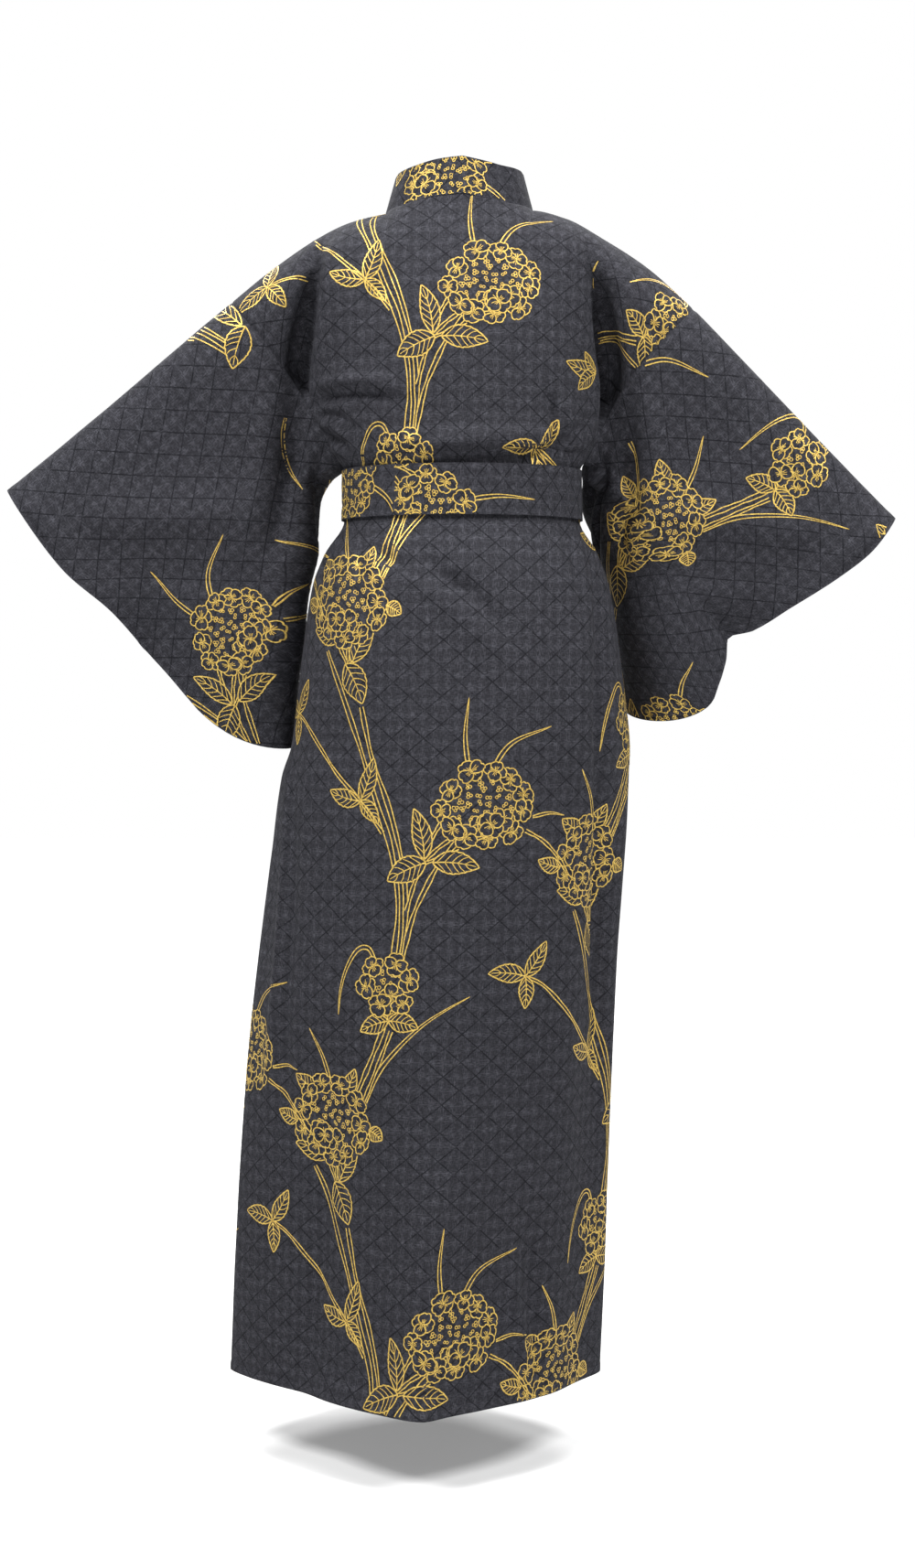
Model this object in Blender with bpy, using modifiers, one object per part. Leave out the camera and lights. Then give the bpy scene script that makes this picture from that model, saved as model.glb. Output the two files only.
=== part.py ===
"""A cotton yukata robe in its worn, hollow form, belted at the waist.

Metres, +Z up.  The front faces -Y, the wearer's left is +X.  The origin is the middle of the neck
hole at the height of the nape, where the wearer's shoulders hold the robe.

The robe is two skins.  The back skin and the front skin each have a place across, from -1 at the
right side to +1 at the left side, and a level down: 0 at the shoulder, 1 at the armpit, 2 at the hem.
Every body panel, the collar, the belt and the belt's ends are cut from these two skins.
"""

import math

import bpy
import numpy as np

# ---------------------------------------------------------------- driving sizes
CLOTH_WALL = 0.002
COLLAR_WALL = 0.003
BELT_WALL = 0.0024
SEAM_GAP = 0.0003

ARMPIT_Z = -0.316
HEM_Z = -1.430
SIDE_ANGLE = math.radians(96)        # side seams, from the middle of the back

NECK_SHARE = 0.3                     # share of the top edge that the neck takes
NECK_BACK = 0.062
NECK_FRONT = 0.050
NAPE_Z = -0.007                      # middle of the neckline, behind and in front
THROAT_Z = -0.045
SHOULDER_ROLL = 0.052                # depth over which the cloth rolls over the shoulder
ARMHOLE = 0.224
ARMHOLE_SWELL = 0.048
ARMPIT_SWELL = 0.006

SLEEVE_WIDTH = 0.350
SLEEVE_DROP = 0.486
SLEEVE_CORNER = 0.165                # rounded lower corner
ROUNDED_FROM = 0.75                  # share of the armhole below which the rows close up to the corner
CUFF_OPENING = 0.245
SLEEVE_Y = -0.005
LAYERS_APART = 0.0016                # of each layer from the middle, where the two are sewn together
CUFF_FORWARD = 0.022
CUFF_SWELL = 0.034
SLEEVE_SWELL = 0.017
FALL_SWELL = 0.009                   # of the open inner edge
TURN_RADIUS = 0.020                  # where the sleeve turns forward beside the hip
TURN_ANGLE = math.radians(93)

WRAP_INSET = 0.006                   # right front under the left one
COLLAR_WIDTH = 0.050
COLLAR_STAND = 0.045
COLLAR_END_Z = -0.560
COLLAR_LEAN = (0.016, 0.004)         # of its top edge beside the neck, toward the neck and back
COLLAR_NECK_LEAN = (0.14, 0.006)     # of its top edge behind the neck
COLLAR_STAND_END = 0.36              # level at which the band lies flat on the chest
COLLAR_CLIMB = 0.10                  # levels by which its free edge runs ahead of its seam
COLLAR_SLANTS = (0.80, 0.97)         # width seen along a level, over its true width: chest, lap

BELT_TOP = -0.3285
BELT_BOTTOM = -0.3885
BELT_OUT = 0.0036
BELT_SEAM_ANGLE = math.radians(33.5)
KNOT_ANGLE = math.radians(176)
KNOT_SIZE = (0.046, 0.024, 0.040)
KNOT_ROUNDING = 0.008
END_LENGTH = 0.340
END_WIDTH = 0.056
END_TOP_WIDTH = 0.018                # of each belt end, gathered where it leaves the knot
END_FROM_MIDDLE = 0.003
END_DRIFT = 0.016                    # how far each end drifts sideways down to its tip
END_CLEAR_TOP = 0.0115               # of the skirt's front, at the knot and lower down
END_CLEAR_LOW = 0.0060
END_CURL = 0.002
END_FRONT_Y = -0.1145                # no part of an end lies further back than this

SHARP_ANGLE = math.radians(65)       # edges sharper than this are not shaded smooth

# ---------------------------------------------------------------- tables
# Body tube below the armpit: height, middle line, reach to the left, right, back and front, roundness
TUBE = (
    (-0.316, 0.000, 0.150, 0.150, 0.113, 0.112, 2.00),
    (-0.3285, 0.000, 0.141, 0.141, 0.105, 0.104, 2.00),
    (-0.3885, 0.000, 0.142, 0.142, 0.106, 0.105, 2.00),
    (-0.430, 0.000, 0.166, 0.164, 0.124, 0.118, 2.00),
    (-0.470, 0.001, 0.181, 0.178, 0.137, 0.127, 2.00),
    (-0.556, 0.003, 0.194, 0.192, 0.150, 0.137, 2.00),
    (-0.660, 0.006, 0.207, 0.202, 0.156, 0.145, 1.95),
    (-0.700, 0.007, 0.220, 0.199, 0.157, 0.147, 1.92),
    (-0.790, 0.010, 0.233, 0.193, 0.160, 0.150, 1.85),
    (-0.920, 0.016, 0.250, 0.184, 0.164, 0.154, 1.75),
    (-1.055, 0.023, 0.265, 0.178, 0.169, 0.158, 1.65),
    (-1.220, 0.033, 0.277, 0.172, 0.177, 0.163, 1.55),
    (-1.430, 0.045, 0.286, 0.166, 0.194, 0.170, 1.45),
)
# Middle of the back and of the front above the armpit: height, distance from the axis
BACK_LINE = ((-0.316, 0.113), (-0.26, 0.112), (-0.20, 0.109), (-0.14, 0.102), (-0.08, 0.088), (-0.007, 0.062))
FRONT_LINE = ((-0.316, 0.112), (-0.26, 0.117), (-0.20, 0.116), (-0.14, 0.105), (-0.09, 0.084), (-0.045, 0.050))
# Top edge seen from behind, neck to sleeve seam: share, sideways, height
TOP_LEFT = ((0.0, 0.000, -0.007), (0.1, 0.034, -0.010), (0.2, 0.066, -0.016), (0.3, 0.092, -0.020),
            (0.44, 0.134, -0.030), (0.58, 0.174, -0.049), (0.79, 0.230, -0.087), (1.0, 0.279, -0.126))
TOP_RIGHT = ((0.0, 0.000, -0.007), (0.1, 0.031, -0.012), (0.2, 0.060, -0.016), (0.3, 0.085, -0.016),
             (0.44, 0.126, -0.026), (0.58, 0.167, -0.048), (0.79, 0.227, -0.087), (1.0, 0.280, -0.134))
# Sleeve seam and the line that carries on below it: drop, sideways, height
INNER_LEFT = ((0.0, 0.279, -0.126), (0.12, 0.200, -0.228), (0.224, 0.149, -0.316), (0.486, -0.019, -0.516))
INNER_RIGHT = ((0.0, 0.280, -0.134), (0.12, 0.196, -0.228), (0.224, 0.149, -0.316), (0.486, -0.027, -0.505))
# Sleeve's outer edge: drop, sideways, height
OUTER_LEFT = ((0.0, 0.556, -0.350), (0.115, 0.484, -0.449), (0.185, 0.428, -0.498), (0.245, 0.390, -0.543),
              (0.313, 0.347, -0.592), (0.486, 0.250, -0.734))
OUTER_RIGHT = ((0.0, 0.530, -0.384), (0.055, 0.496, -0.427), (0.102, 0.458, -0.457), (0.170, 0.400, -0.494),
               (0.219, 0.356, -0.521), (0.245, 0.325, -0.531), (0.270, 0.325, -0.550), (0.313, 0.316, -0.585),
               (0.412, 0.305, -0.640), (0.486, 0.296, -0.690))
# Line on which the sleeve turns forward: height, nearest point of the turned cloth to the axis
TURN_LEFT = ((-0.300, 0.105), (-0.316, 0.124), (-0.338, 0.160), (-0.365, 0.172), (-0.420, 0.175),
             (-0.470, 0.188), (-0.556, 0.201), (-0.660, 0.2125), (-0.720, 0.225))
TURN_RIGHT = ((-0.300, 0.105), (-0.316, 0.124), (-0.340, 0.150), (-0.362, 0.153), (-0.420, 0.169),
               (-0.470, 0.186), (-0.556, 0.200), (-0.660, 0.2075))
# Troughs behind the arms: side, top sideways and height, bottom sideways and height, half-width and
# how much of the depth they take
TROUGHS = (
    (1, 0.180, -0.085, 0.203, -0.310, 0.030, 0.50),
    (-1, 0.150, -0.075, 0.186, -0.310, 0.030, 0.55),
)
# Folds of the skirt: angle from the middle of the back, half-width, depth inward, top, bottom
SKIRT_FOLDS = (
    (-66, 11, 0.010, -0.62, -1.20),
    (-84, 9, -0.006, -0.60, -1.43),
    (74, 12, 0.007, -0.62, -1.15),
    (48, 24, 0.027, -0.95, -1.60),
    (2, 12, -0.011, -1.10, -1.60),
    (-30, 15, 0.006, -0.90, -1.43),
    (118, 13, 0.008, -0.45, -1.30),
    (150, 12, 0.006, -0.60, -1.43),
    (-122, 13, 0.008, -0.45, -1.43),
)
# Front edge of the left front, on the front skin: level, place across (the right one mirrors it)
FRONT_EDGE = ((0.0, 0.300), (0.08, 0.288), (0.19, 0.250), (0.34, 0.180), (0.52, 0.075), (0.62, -0.020),
              (0.82, -0.190), (1.0, -0.340), (1.065, -0.420), (1.15, -0.500), (1.22, -0.520), (2.0, -0.450))

UPPER_LEVELS = (0.0, 0.012, 0.04, 0.08, 0.13, 0.19, 0.26, 0.34, 0.43, 0.52, 0.62, 0.72, 0.82, 0.91, 1.0)
LOWER_HEIGHTS = (-0.3285, -0.3585, -0.3885, -0.412, -0.445, -0.490, -0.556, -0.620, -0.690, -0.770,
                 -0.860, -0.950, -1.050, -1.150, -1.250, -1.350, -1.430)
OKUMI_TOP_LEVEL = 0.62
WAIST_HEIGHT = -0.3585               # the back and the fronts are parted here, under the belt
HALF_COLUMNS = 10
OKUMI_COLUMNS = 4
SLEEVE_COLUMNS = 10


# ---------------------------------------------------------------- plain helpers
def read(table, place, column):
    """Smooth value of one column of a table at a place along its first column."""
    rows = sorted(table)
    x = [row[0] for row in rows]
    y = [row[column] for row in rows]
    if place <= x[0]:
        return y[0]
    if place >= x[-1]:
        return y[-1]
    k = max(i for i in range(len(x) - 1) if x[i] <= place)
    slope = [(y[i + 1] - y[i]) / (x[i + 1] - x[i]) for i in range(len(x) - 1)]

    def tangent(i):
        if i == 0:
            return slope[0]
        if i == len(x) - 1:
            return slope[-1]
        if slope[i - 1] * slope[i] <= 0:
            return 0.0
        return 2 * slope[i - 1] * slope[i] / (slope[i - 1] + slope[i])

    span = x[k + 1] - x[k]
    t = (place - x[k]) / span
    rise = (2 * t ** 3 - 3 * t ** 2 + 1) * y[k] + (3 * t ** 2 - 2 * t ** 3) * y[k + 1]
    return rise + span * ((t ** 3 - 2 * t ** 2 + t) * tangent(k) + (t ** 3 - t ** 2) * tangent(k + 1))


def ease(value, start, end):
    """0 at start, 1 at end, smooth between."""
    share = min(max((value - start) / (end - start), 0.0), 1.0)
    return share * share * (3 - 2 * share)


def roll(depth, radius):
    """Quarter round: how far the cloth has rolled over at a depth below the fold."""
    share = min(depth / radius, 1.0)
    return math.sqrt(1 - (1 - share) ** 2)


def unit(vector):
    return vector / np.linalg.norm(vector)


# ---------------------------------------------------------------- body skins
def skirt_fold(angle, height):
    """Inward depth of the skirt's folds at an angle and height."""
    total = 0.0
    for centre, half_width, depth, top, bottom in SKIRT_FOLDS:
        turn = (math.degrees(angle) - centre + 180) % 360 - 180
        fade = ease(height, top, top - 0.18) * (1 - 0.4 * ease(height, bottom + 0.15, bottom))
        total += depth * fade * math.exp(-(turn / half_width) ** 2)
    return total


def ring(height, angle):
    """Point of the body tube; angle 0 is the middle of the back, +90 degrees the wearer's left."""
    mid = read(TUBE, height, 1)
    reach = read(TUBE, height, 2) - mid if math.sin(angle) > 0 else read(TUBE, height, 3) + mid
    depth = read(TUBE, height, 4) if math.cos(angle) > 0 else read(TUBE, height, 5)
    power = 2 / read(TUBE, height, 6)
    inward = skirt_fold(angle, height)
    across = math.copysign(abs(math.sin(angle)) ** power, math.sin(angle)) * (reach - inward)
    deep = math.copysign(abs(math.cos(angle)) ** power, math.cos(angle)) * (depth - inward)
    return np.array((mid + across, deep, height))


ARCS = {}


def arc_angle(height, start, end, share):
    """Angle at a share of the tube's own length between two angles."""
    key = (round(height, 6), round(start, 6), round(end, 6))
    if key not in ARCS:
        angles = np.linspace(start, end, 49)
        points = [ring(height, angle) for angle in angles]
        steps = [np.linalg.norm(b - a) for a, b in zip(points, points[1:])]
        ARCS[key] = (angles, np.concatenate(([0.0], np.cumsum(steps))))
    angles, lengths = ARCS[key]
    return float(np.interp(share * lengths[-1], lengths, angles))


def level_height(level):
    return ARMPIT_Z + (level - 1) * (HEM_Z - ARMPIT_Z)


def height_level(height):
    return 1 + (height - ARMPIT_Z) / (HEM_Z - ARMPIT_Z)


def squeeze(x, z, back):
    """Share of the depth that the trough behind or before the arm takes."""
    total = 0.0
    for side, top_x, top_z, low_x, low_z, half_width, depth in TROUGHS:
        share = (z - top_z) / (low_z - top_z)
        centre = side * (top_x + share * (low_x - top_x))
        fade = ease(share, -0.15, 0.6) * (1 - ease(share, 1.0, 1.25))
        total += depth * fade * math.exp(-((x - centre) / half_width) ** 2)
    return total * (1.0 if back else 0.6)


def layer_apart(swell, drop, x, z, back):
    """Distance of a layer from the middle plane of the arm: its swell, less the trough."""
    return LAYERS_APART * min(drop / 0.01, 1.0) + swell * (1 - squeeze(x, z, back))


def armhole_swell(drop):
    """Half the width of the armhole's opening at a drop below the shoulder."""
    lens = 1 - min(drop / ARMHOLE, 1.0) ** 2.5
    return (ARMPIT_SWELL + (ARMHOLE_SWELL - ARMPIT_SWELL) * lens) * roll(drop, SHOULDER_ROLL)


def upper(place, level, back):
    """Point of the back or front skin between the shoulder and the armpit."""
    side = 1 if place >= 0 else -1
    share = abs(place)
    top_table = TOP_LEFT if side > 0 else TOP_RIGHT
    inner_table = INNER_LEFT if side > 0 else INNER_RIGHT
    line = BACK_LINE if back else FRONT_LINE
    middle_top = NAPE_Z if back else THROAT_Z
    middle_z = middle_top + level * (ARMPIT_Z - middle_top)

    def flat(x, z):
        return np.array((x, z))

    def top_edge(at):
        z = read(top_table, at, 2)
        if not back and at < NECK_SHARE:
            corner = read(top_table, NECK_SHARE, 2)
            z = corner + (1 - at / NECK_SHARE) * (middle_top - corner)
        return flat(read(top_table, at, 1), z)

    start = 0.0 if back else math.pi
    end = SIDE_ANGLE if side > 0 else (-SIDE_ANGLE if back else 2 * math.pi - SIDE_ANGLE)
    low = ring(ARMPIT_Z, arc_angle(ARMPIT_Z, start, end, share))
    low_end = ring(ARMPIT_Z, end)
    low_mid = ring(ARMPIT_Z, start)
    top = top_edge(share)
    outer = flat(read(inner_table, level * ARMHOLE, 1), read(inner_table, level * ARMHOLE, 2))
    low_flat = flat(abs(low[0]), ARMPIT_Z)
    spot = ((1 - level) * top + level * low_flat + (1 - share) * flat(0.0, middle_z) + share * outer
            - (1 - share) * (1 - level) * top_edge(0.0) - share * (1 - level) * top_edge(1.0)
            - (1 - share) * level * flat(0.0, ARMPIT_Z) - share * level * flat(abs(low_end[0]), ARMPIT_Z))
    outward = 1 if back else -1
    fullness = (low[1] - low_end[1]) / (low_mid[1] - low_end[1])
    swell = SLEEVE_Y + outward * armhole_swell(level * ARMHOLE) / max(roll(level * ARMHOLE, SHOULDER_ROLL), 0.2)
    base = fullness * outward * read(line, middle_z, 1) + (1 - fullness) * swell
    neck_depth = NECK_BACK if back else NECK_FRONT
    inside = max(0.0, 1 - (share / NECK_SHARE) ** 2)
    top_y = outward * neck_depth * math.sqrt(inside) + SLEEVE_Y * min(share / NECK_SHARE, 1.0)
    y = top_y + (base - top_y) * roll(float(np.linalg.norm(spot - top)), SHOULDER_ROLL)
    x = side * spot[0]
    if share > 0.999:
        drop = level * ARMHOLE
        y = SLEEVE_Y + outward * layer_apart(armhole_swell(drop), drop, x, spot[1], back)
    else:
        y = SLEEVE_Y + (y - SLEEVE_Y) * (1 - squeeze(x, spot[1], back))
    return np.array((x, y, spot[1]))


def skin(place, level, back):
    """Point of the back skin or the front skin at any level."""
    if level <= 1:
        return upper(place, level, back)
    height = level_height(level)
    start = 0.0 if back else math.pi
    if place >= 0:
        end = SIDE_ANGLE
    else:
        end = -SIDE_ANGLE if back else 2 * math.pi - SIDE_ANGLE
    return ring(height, arc_angle(height, start, end, abs(place)))


def front(place, level, inset):
    """Point of the front skin, moved in by the inset where the right front lies under the left."""
    point = skin(place, level, False)
    if inset == 0:
        return point
    step = 0.01
    across = skin(min(place + step, 1.0), level, False) - skin(max(place - step, -1.0), level, False)
    down = skin(place, min(level + step, 2.0), False) - skin(place, max(level - step, 0.0), False)
    inward = unit(np.cross(across, down))
    inward = inward if inward[1] > 0 or abs(place) > 0.9 else -inward
    depth = inset * ease(place, -0.97, -0.76) * ease(level, 0.10, 0.45)
    return point + inward * depth


# ---------------------------------------------------------------- sleeves
def sleeve_end(along):
    """Lowest drop of the sleeve at a distance from the cuff edge: round at the outer corner."""
    if along >= SLEEVE_CORNER:
        return SLEEVE_DROP
    rest = SLEEVE_CORNER - along
    return SLEEVE_DROP - SLEEVE_CORNER + math.sqrt(SLEEVE_CORNER ** 2 - rest ** 2)


def closed_distance(along, drop):
    """Distance in the flat cloth to the nearest sewn edge of the sleeve."""
    corner_start = SLEEVE_DROP - SLEEVE_CORNER
    if along < SLEEVE_CORNER and drop > corner_start:
        edge = SLEEVE_CORNER - math.hypot(SLEEVE_CORNER - along, drop - corner_start)
    else:
        edge = math.hypot(along, max(0.0, CUFF_OPENING - drop))
    return max(0.0, min(edge, SLEEVE_DROP - drop))


def sleeve_swell(along, drop):
    """Half the thickness of the sleeve's bag."""
    lower = ease(drop, 0.0, SLEEVE_DROP)
    body = CUFF_SWELL + (SLEEVE_SWELL - CUFF_SWELL) * lower
    closed = math.sin(min(closed_distance(along, drop) / 0.11, 1.0) * math.pi / 2)
    bag = body * closed * roll(drop, SHOULDER_ROLL)
    if drop <= ARMHOLE:
        seam = armhole_swell(drop)
    else:
        closed_low = math.sin(min((SLEEVE_DROP - drop) / 0.06, 1.0) * math.pi / 2)
        seam = ARMPIT_SWELL + (FALL_SWELL - ARMPIT_SWELL) * ease(drop, ARMHOLE, ARMHOLE + 0.09)
        seam *= max(closed_low, 0.0)
    near_seam = ease(along, SLEEVE_WIDTH - 0.16, SLEEVE_WIDTH)
    return bag + (seam - bag) * near_seam


def sleeve(side, along, drop, back):
    """Point of a sleeve layer: along runs from the cuff edge to the sleeve seam."""
    outer_table = OUTER_LEFT if side > 0 else OUTER_RIGHT
    inner_table = INNER_LEFT if side > 0 else INNER_RIGHT
    turn_table = TURN_LEFT if side > 0 else TURN_RIGHT
    share = along / SLEEVE_WIDTH
    x = (1 - share) * read(outer_table, drop, 1) + share * read(inner_table, drop, 1)
    z = (1 - share) * read(outer_table, drop, 2) + share * read(inner_table, drop, 2)
    middle_y = SLEEVE_Y - CUFF_FORWARD * ease(along, SLEEVE_WIDTH, 0.0)
    swell = sleeve_swell(along, drop)
    outward = 1 if back else -1
    offset = outward * layer_apart(swell, drop, side * x, z, back)
    turn_x = read(turn_table, z, 1) + TURN_RADIUS + LAYERS_APART + swell
    beyond = turn_x - x
    if beyond <= 0 or drop <= ARMHOLE:
        return np.array((side * x, middle_y + offset, z))
    bend = min(beyond / TURN_RADIUS, TURN_ANGLE)
    straight = beyond - bend * TURN_RADIUS
    plan_x = turn_x - TURN_RADIUS * math.sin(bend) - straight * math.cos(bend)
    plan_y = middle_y - TURN_RADIUS * (1 - math.cos(bend)) - straight * math.sin(bend)
    return np.array((side * (plan_x - math.sin(bend) * offset), plan_y + math.cos(bend) * offset, z))


# ---------------------------------------------------------------- walls
def grid_normals(grid):
    """Unit normals of a grid of points, from the neighbours along rows and columns."""
    down = np.gradient(grid, axis=0)
    across = np.gradient(grid, axis=1)
    normals = np.cross(across, down)
    return normals / np.maximum(np.linalg.norm(normals, axis=2, keepdims=True), 1e-12)


def pulled_in(grid):
    """The grid with its four edges drawn in by half the seam gap."""
    result = grid.copy()
    for axis in (0, 1):
        moved = np.moveaxis(result, axis, 0)
        for edge, inner in ((0, 1), (-1, -2)):
            step = moved[inner] - moved[edge]
            length = np.maximum(np.linalg.norm(step, axis=1, keepdims=True), 1e-9)
            moved[edge] += step / length * SEAM_GAP / 2
    return result


class Sheet:
    """A piece of cloth: a grid of points with outward normals, made into a closed wall."""

    def __init__(self, name, grid, outward, wall=CLOTH_WALL):
        self.name = name
        self.grid = np.array(grid, dtype=float)
        self.normals = grid_normals(self.grid)
        middle = self.normals[len(self.grid) // 2, len(self.grid[0]) // 2]
        if float(np.dot(middle, outward)) < 0:
            self.normals = -self.normals
        self.wall = wall

    def part(self, name, rows):
        """Some of the rows as a piece of their own, with the same normals."""
        piece = Sheet(name, self.grid[rows], (0, 0, 0), self.wall)
        piece.normals = self.normals[rows]
        return piece

    def build(self, collection, material):
        grid = pulled_in(self.grid)
        rows, columns = grid.shape[:2]
        outer = grid + self.normals * self.wall / 2
        inner = grid - self.normals * self.wall / 2
        points = np.concatenate((outer.reshape(-1, 3), inner.reshape(-1, 3)))
        half = rows * columns
        faces = []
        for r in range(rows - 1):
            for c in range(columns - 1):
                a, b = r * columns + c, r * columns + c + 1
                d, e = a + columns, b + columns
                faces.append((a, b, e, d))
                faces.append((half + a, half + d, half + e, half + b))
        rim = list(range(columns))
        rim += [r * columns + columns - 1 for r in range(1, rows)]
        rim += [(rows - 1) * columns + c for c in range(columns - 2, -1, -1)]
        rim += [r * columns for r in range(rows - 2, 0, -1)]
        for a, b in zip(rim, rim[1:] + rim[:1]):
            faces.append((a, half + a, half + b, b))
        mesh = bpy.data.meshes.new(self.name)
        mesh.from_pydata([tuple(p) for p in points], [], faces)
        if float(np.dot(np.cross(outer[0, 1] - outer[0, 0], outer[1, 0] - outer[0, 0]),
                        self.normals[0, 0])) < 0:
            mesh.flip_normals()
        mesh.materials.append(material)
        mesh.shade_smooth()
        mesh.set_sharp_from_angle(angle=SHARP_ANGLE)
        thing = bpy.data.objects.new(self.name, mesh)
        collection.objects.link(thing)
        return thing


def share_normals(first, first_edge, second, second_edge):
    """Give two pieces the same normals along the seam they share."""
    mean = first.normals[first_edge] + second.normals[second_edge]
    mean /= np.maximum(np.linalg.norm(mean, axis=-1, keepdims=True), 1e-9)
    first.normals[first_edge] = mean
    second.normals[second_edge] = mean


# ---------------------------------------------------------------- pieces
LEVELS = list(UPPER_LEVELS) + [height_level(z) for z in LOWER_HEIGHTS]
ARMPIT_ROW = len(UPPER_LEVELS) - 1
OKUMI_ROW = UPPER_LEVELS.index(OKUMI_TOP_LEVEL)
WAIST_ROW = ARMPIT_ROW + 1 + LOWER_HEIGHTS.index(WAIST_HEIGHT)
NECK_COLUMN = round(NECK_SHARE * HALF_COLUMNS)


def front_edge(level):
    return read(FRONT_EDGE, level, 1)


def back_sheet():
    places = [c / HALF_COLUMNS for c in range(-HALF_COLUMNS, HALF_COLUMNS + 1)]
    return Sheet("back", [[skin(p, level, True) for p in places] for level in LEVELS], (0, 1, 0))


def front_sheet(name, side, inset):
    """Front from its neckline, and lower down from the okumi seam, out to the side seam."""
    columns = HALF_COLUMNS - NECK_COLUMN
    rows = []
    for index, level in enumerate(LEVELS):
        inner = front_edge(level) if index < OKUMI_ROW else 0.0
        places = [inner + (1 - inner) * c / columns for c in range(columns + 1)]
        rows.append([front(side * p, level, inset) for p in places])
    return Sheet(name, rows, (0, -1, 0))


def okumi_sheet(name, side, inset):
    """Narrow overlap panel, from its point at the chest down to the hem."""
    rows = []
    for level in LEVELS[OKUMI_ROW:]:
        edge = front_edge(level)
        places = [edge * (1 - c / OKUMI_COLUMNS) for c in range(OKUMI_COLUMNS + 1)]
        rows.append([front(side * p, level, inset) for p in places])
    return Sheet(name, rows, (0, -1, 0))


def sleeve_sheet(name, side, back):
    """One layer of a sleeve, from the sleeve seam out to the cuff."""
    seam_drops = [level * ARMHOLE for level in UPPER_LEVELS]
    lower_shares = (0.10, 0.24, 0.42, 0.62, 0.82, 1.0)
    rows = []
    for drop in seam_drops:
        rows.append([drop for _ in range(SLEEVE_COLUMNS + 1)])
    for share in lower_shares:
        rows.append([ARMHOLE + share * (SLEEVE_DROP - ARMHOLE) for _ in range(SLEEVE_COLUMNS + 1)])
    grid = []
    for row in rows:
        points = []
        for column in range(SLEEVE_COLUMNS + 1):
            along = SLEEVE_WIDTH * (1 - column / SLEEVE_COLUMNS)
            end = sleeve_end(along)
            scale_from = ARMHOLE * ROUNDED_FROM
            drop = row[column]
            if drop > scale_from:
                drop = scale_from + (drop - scale_from) * (end - scale_from) / (SLEEVE_DROP - scale_from)
            points.append(sleeve(side, along, drop, back))
        grid.append(points)
    return Sheet(name, grid, (0, 1 if back else -1, 0))


def collar_sheet():
    """One long band: up the left front, round the neck and down the right front."""
    end_level = height_level(COLLAR_END_Z)
    side_levels = [level for level in LEVELS[1:] if level < end_level + 0.001]

    def side_station(side, level, inset):
        base_place = front_edge(level)
        base = front(side * base_place, level, inset)
        stand = 1 - ease(level, 0.0, COLLAR_STAND_END)
        row_length = np.linalg.norm(skin(0.9, level, False) - skin(0.0, level, False)) / 0.9
        slant = COLLAR_SLANTS[0] if level < 1 else COLLAR_SLANTS[1]
        shift = COLLAR_WIDTH / slant / row_length
        points = []
        for share in (0.0, 0.5, 1.0):
            climb = COLLAR_CLIMB * share if level < 1 else 0.0
            lying = front(side * (base_place - shift * share), max(level - climb, 0.0), inset)
            lift = np.array((-side * COLLAR_LEAN[0], COLLAR_LEAN[1], COLLAR_STAND)) * share
            points.append((1 - stand) * lying + stand * (base + lift))
        return points

    stations = [side_station(1, level, 0.0) for level in reversed(side_levels)]
    for column in range(NECK_COLUMN, -NECK_COLUMN - 1, -1):
        place = column / HALF_COLUMNS
        base = skin(place, 0.0, True)
        back_lean = COLLAR_NECK_LEAN[1] * (1 - abs(place) / NECK_SHARE)
        lean = np.array((-COLLAR_NECK_LEAN[0] * base[0], -back_lean, COLLAR_STAND))
        stations.append([base + lean * share for share in (0.0, 0.5, 1.0)])
    stations += [side_station(-1, level, WRAP_INSET) for level in side_levels]
    return Sheet("collar", stations, (0, 1, 0), COLLAR_WALL)


def belt_sheet(name, start, end, columns):
    """Length of belt round the waist between two angles, from the lower edge to the upper."""
    rows = []
    for height in (BELT_TOP, (BELT_TOP + BELT_BOTTOM) / 2, BELT_BOTTOM):
        points = []
        for column in range(columns + 1):
            angle = start + (end - start) * column / columns
            point = ring(height, angle)
            ahead = ring(height, angle + 0.01) - ring(height, angle - 0.01)
            outward = unit(np.array((-ahead[1], ahead[0], 0.0)))
            if float(np.dot(outward, (point[0], point[1], 0.0))) < 0:
                outward = -outward
            points.append(point + outward * BELT_OUT)
        rows.append(points)
    middle = rows[1][columns // 2]
    return Sheet(name, rows, (middle[0], middle[1], 0.0), BELT_WALL)


def belt_end_sheet(name, side):
    """Free end of the belt, hanging on the skirt's front below the knot."""
    top = (BELT_TOP + BELT_BOTTOM) / 2 - KNOT_SIZE[2] / 2 - 1.5 * SEAM_GAP
    rows = []
    for share in (0.0, 0.06, 0.14, 0.26, 0.40, 0.55, 0.70, 0.85, 1.0):
        height = top - END_LENGTH * share
        width = END_TOP_WIDTH + (END_WIDTH - END_TOP_WIDTH) * ease(share, 0.0, 0.30)
        centre = side * (END_FROM_MIDDLE + width / 2 + END_DRIFT * share)
        points = []
        for step in (-0.5, -0.25, 0.0, 0.25, 0.5):
            x = centre + width * step
            reach = read(TUBE, height, 5) - skirt_fold(math.pi, height)
            y = -reach * math.sqrt(max(0.0, 1 - (x / read(TUBE, height, 2)) ** 2))
            clear = END_CLEAR_TOP + (END_CLEAR_LOW - END_CLEAR_TOP) * ease(share, 0.1, 0.5)
            y -= clear + END_CURL * math.cos(step * 2 * math.pi)
            points.append(np.array((x, min(y, END_FRONT_Y), height)))
        rows.append(points)
    return Sheet(name, rows, (0, -1, 0), BELT_WALL)


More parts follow.
